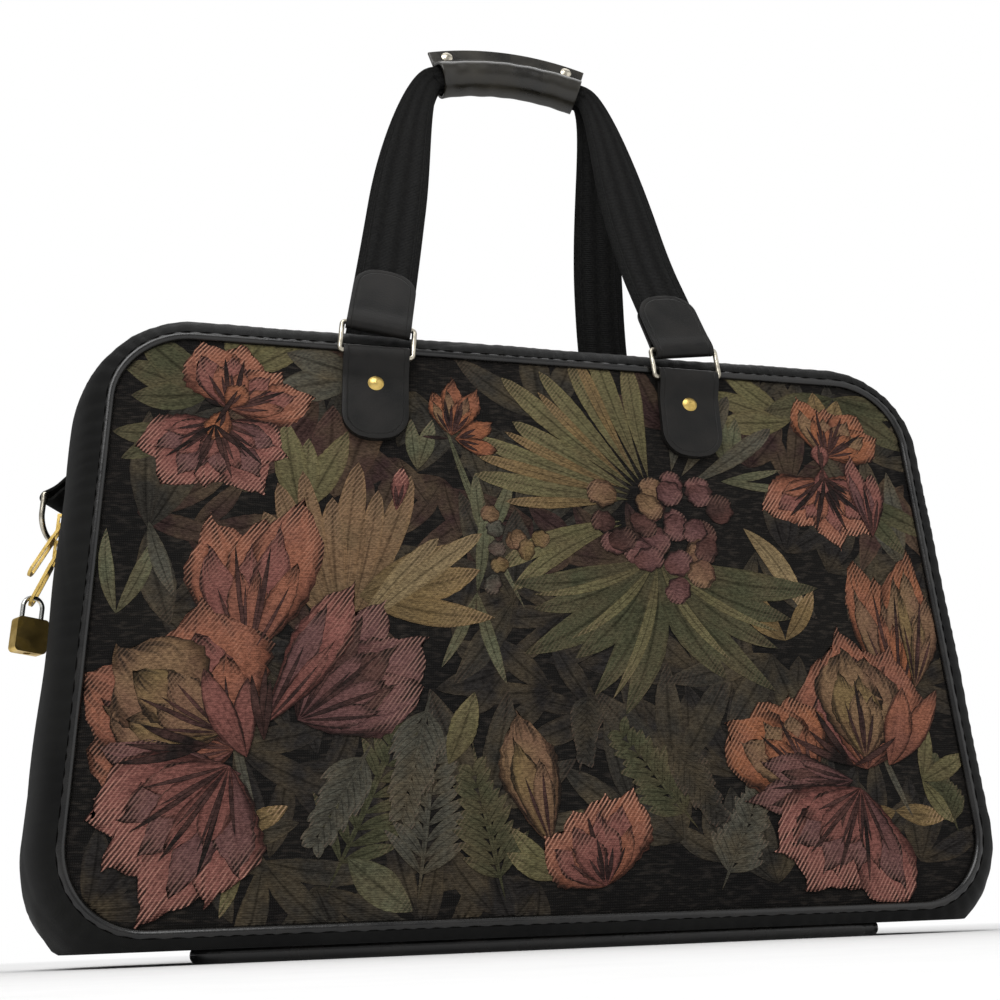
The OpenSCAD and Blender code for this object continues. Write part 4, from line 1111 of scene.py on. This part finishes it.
# Upper tabs: the same leather, one leaf on each face of the webbing, joined by the loop
# round the ring's upper bar. They lean with the straps, in towards the grip.
grip_arch, grip_x, grip_axis, grip_turn, strap_y = 176.0, 10.0, 430.0, math.asin(53 / 176), 2.6
top_bar = (94.675, 70.4, 340.453)
leg_drop = 18
lean_high = grip_axis + grip_arch * math.cos(grip_turn) - leg_drop - top_bar[2]
strap_lean = math.atan2(top_bar[1] - strap_y, lean_high)
strap_tilt = math.radians(8)


def from_tab(x, y, z):
    """A point of the front left tab's own frame, height along the tab, in the bag's frame."""
    y1 = y * math.cos(strap_lean) + z * math.sin(strap_lean)
    z1 = -y * math.sin(strap_lean) + z * math.cos(strap_lean)
    return (x * math.cos(strap_tilt) + z1 * math.sin(strap_tilt) - top_bar[0], y1 - top_bar[1],
            -x * math.sin(strap_tilt) + z1 * math.cos(strap_tilt) + top_bar[2])


upper_line = ((-2.2, 46.0), (-2.2, 36.0), (-2.2, 26.0), (-2.25, 16.0), (-2.4, 9.0), (-2.8, 4.0), (-3.0, 0.5),
              (-2.7, -2.4), (-1.6, -4.1), (0.0, -4.5), (1.6, -4.1), (2.7, -2.4), (3.0, 0.5), (2.8, 4.0),
              (2.4, 9.0), (2.25, 16.0), (2.2, 26.0), (2.2, 36.0), (2.2, 46.0))
at_corners("upper_tab", leather_tab("upper_tab_front_left_leather", upper_line, from_tab))

# Straps: ribbed black webbing, 38 mm wide, straight out of the tabs and then folded double
# where the two straps lie side by side inside the grip wrap.
wide_flat, wide_folded, thick_flat, thick_folded = 38, 19, 2.1, 4.4
tab_steps = (5.4, 12, 20, 28, 36, 46, 52, 58)
leg_steps, leg_pull, grip_pull = 40, 75, 18


def leg_spot(side, far):
    x, y, z = from_tab(0.0, 0.0, far)
    return Vector((-side * x, y, z))


def grip_spot(a):
    return Vector((grip_x + grip_arch * math.sin(a), -strap_y, grip_axis + grip_arch * math.cos(a)))


def strap_line():
    """Middle line of the front strap with how far it is folded at each point."""
    line = [(leg_spot(-1, d), 0.0) for d in tab_steps]
    legs = {}
    for side in (-1, 1):
        a = side * (grip_turn + math.radians(1.2))
        start, end = leg_spot(side, tab_steps[-1]), grip_spot(a)
        ahead = leg_spot(side, tab_steps[-1] + 1) - start
        along = Vector((math.cos(a), 0, -math.sin(a)))
        p1, p2 = start + leg_pull * ahead, end + side * grip_pull * along
        legs[side] = []
        for k in range(1, leg_steps + 1):
            u = k / leg_steps
            fold = max(0.0, min(1.0, (18 * u - 4) / 13))
            spot = start * (1 - u) ** 3 + p1 * 3 * u * (1 - u) ** 2 + p2 * 3 * u * u * (1 - u) + end * u ** 3
            legs[side].append((spot, fold * fold * (3 - 2 * fold)))
    line += legs[-1]
    line += [(grip_spot(grip_turn * k / 8.5), 1.0) for k in range(-8, 9)]
    line += legs[1][::-1]
    line += [(leg_spot(1, d), 0.0) for d in tab_steps[::-1]]
    return line


strap_points = strap_line()
strap_far = [0.0]
for (a, _), (b, _) in zip(strap_points, strap_points[1:]):
    strap_far.append(strap_far[-1] + (b - a).length)


def strap_spot(u, v):
    n = len(strap_points)
    at = u * (n - 1)
    k = min(n - 2, int(at))
    f = at - k
    spot = strap_points[k][0].lerp(strap_points[k + 1][0], f)
    fold = strap_points[k][1] + (strap_points[k + 1][1] - strap_points[k][1]) * f
    ahead = (strap_points[min(n - 1, k + 2)][0] - strap_points[max(0, k - 1)][0]).normalized()
    across = (Vector((0, 1, 0)) - ahead * ahead.y).normalized()
    wide = across.cross(ahead)
    w = (wide_flat + (wide_folded - wide_flat) * fold) / 2
    h = (thick_flat + (thick_folded - thick_flat) * fold) / 2
    a = 2 * math.pi * v
    c, s = math.cos(a), math.sin(a)
    wx = math.copysign(abs(c) ** 0.22, c)
    hx = math.copysign(abs(s) ** 0.5, s)
    cup = 0.9 * (1 - fold) * wx * wx * math.sin(math.pi * min(1.0, max(0.0, (u - 0.07) / 0.86)) * 2) ** 2
    return spot + wide * (w * wx) + across * (h * hx - cup)


front_strap = sewn_sheet("front_strap_webbing", 260, 36, strap_spot, (strap_far[-1] * mm, 0.078))
closed_up(front_strap)
smoothed(front_strap, 50)
front_strap.data.materials.append(webbing)
back_strap = copied(front_strap, "back_strap_webbing", (1, -1, 1))
for strap, node in ((front_strap, "strap_front"), (back_strap, "strap_back")):
    dressed(strap, node)

# Grip wrap: one piece of glossy olive-black vinyl bent up round both straps, its two edges
# standing above as flat leaves. The taller back leaf carries two press studs.
wrap_line = ((16.0, -1.1), (14.4, -1.15), (12.9, -2.0), (10.4, -4.9), (7.6, -8.2), (4.6, -10.9), (1.0, -12.0),
             (-3.6, -11.5), (-7.8, -9.1), (-10.8, -5.3), (-12.0, 0.0), (-10.8, 5.3), (-7.8, 9.1), (-3.6, 11.5),
             (1.0, 12.0), (4.6, 10.9), (7.6, 8.2), (10.4, 4.9), (12.9, 2.0), (14.4, 1.15), (17.0, 1.1),
             (20.5, 1.1), (24.0, 1.15), (27.0, 1.2))
wrap_spots, wrap_far = line_lengths(wrap_line, 300)
wrap_waist, wrap_fade, wrap_thick = 13, 6, 1.9


def wrap_spot(u, v):
    h, y = even_spot(wrap_spots, wrap_far, wrap_far[-1] * v)
    a = grip_turn * (2 * u - 1)
    round_part = max(0.0, min(1.0, (wrap_waist - h) / wrap_fade))
    waves = 0.35 * math.sin(9 * u + 4 * v) * math.sin(23 * u + 7 * v) + 0.25 * math.sin(41 * u + 3 * v)
    dent = round_part * waves
    flare = round_part * 0.6 * abs(2 * u - 1) ** 6
    scale = 1 + (dent * 0.6 + flare) / wrap_waist
    r = grip_arch + h * scale
    return grip_x + r * math.sin(a), y * scale, grip_axis + r * math.cos(a)


grip_wrap = sewn_sheet("grip_wrap_vinyl", 72, 96, wrap_spot, (0.108, wrap_far[-1] * mm))
settled(grip_wrap, "SOLIDIFY", thickness=wrap_thick * mm, offset=0)
settled(grip_wrap, "BEVEL", width=0.4 * mm, segments=2, limit_method="ANGLE", angle_limit=math.radians(60))
smoothed(grip_wrap, 50)
grip_vinyl, tree, surface = finish_named("grip_vinyl", dye("1c1911"), 0.28, 0.5)
rub = noise(tree, "Object", 45.0, 4.0)
pores = fed(tree, "Object", "TexVoronoi", {"Scale": 700.0})
tinted(tree, surface, "Base Color", rub, "Fac", 0.35, 0.72, dye("12100b"), dye("29251b"))
tinted(tree, surface, "Roughness", rub, "Fac", 0.3, 0.75, grey(0.22), grey(0.4))
raised(tree, surface, pores, "Distance", 0.12, 0.0004)
grip_wrap.data.materials.append(grip_vinyl)
dressed(grip_wrap, "grip_wrap")
refinished("grip_snaps", nickel)
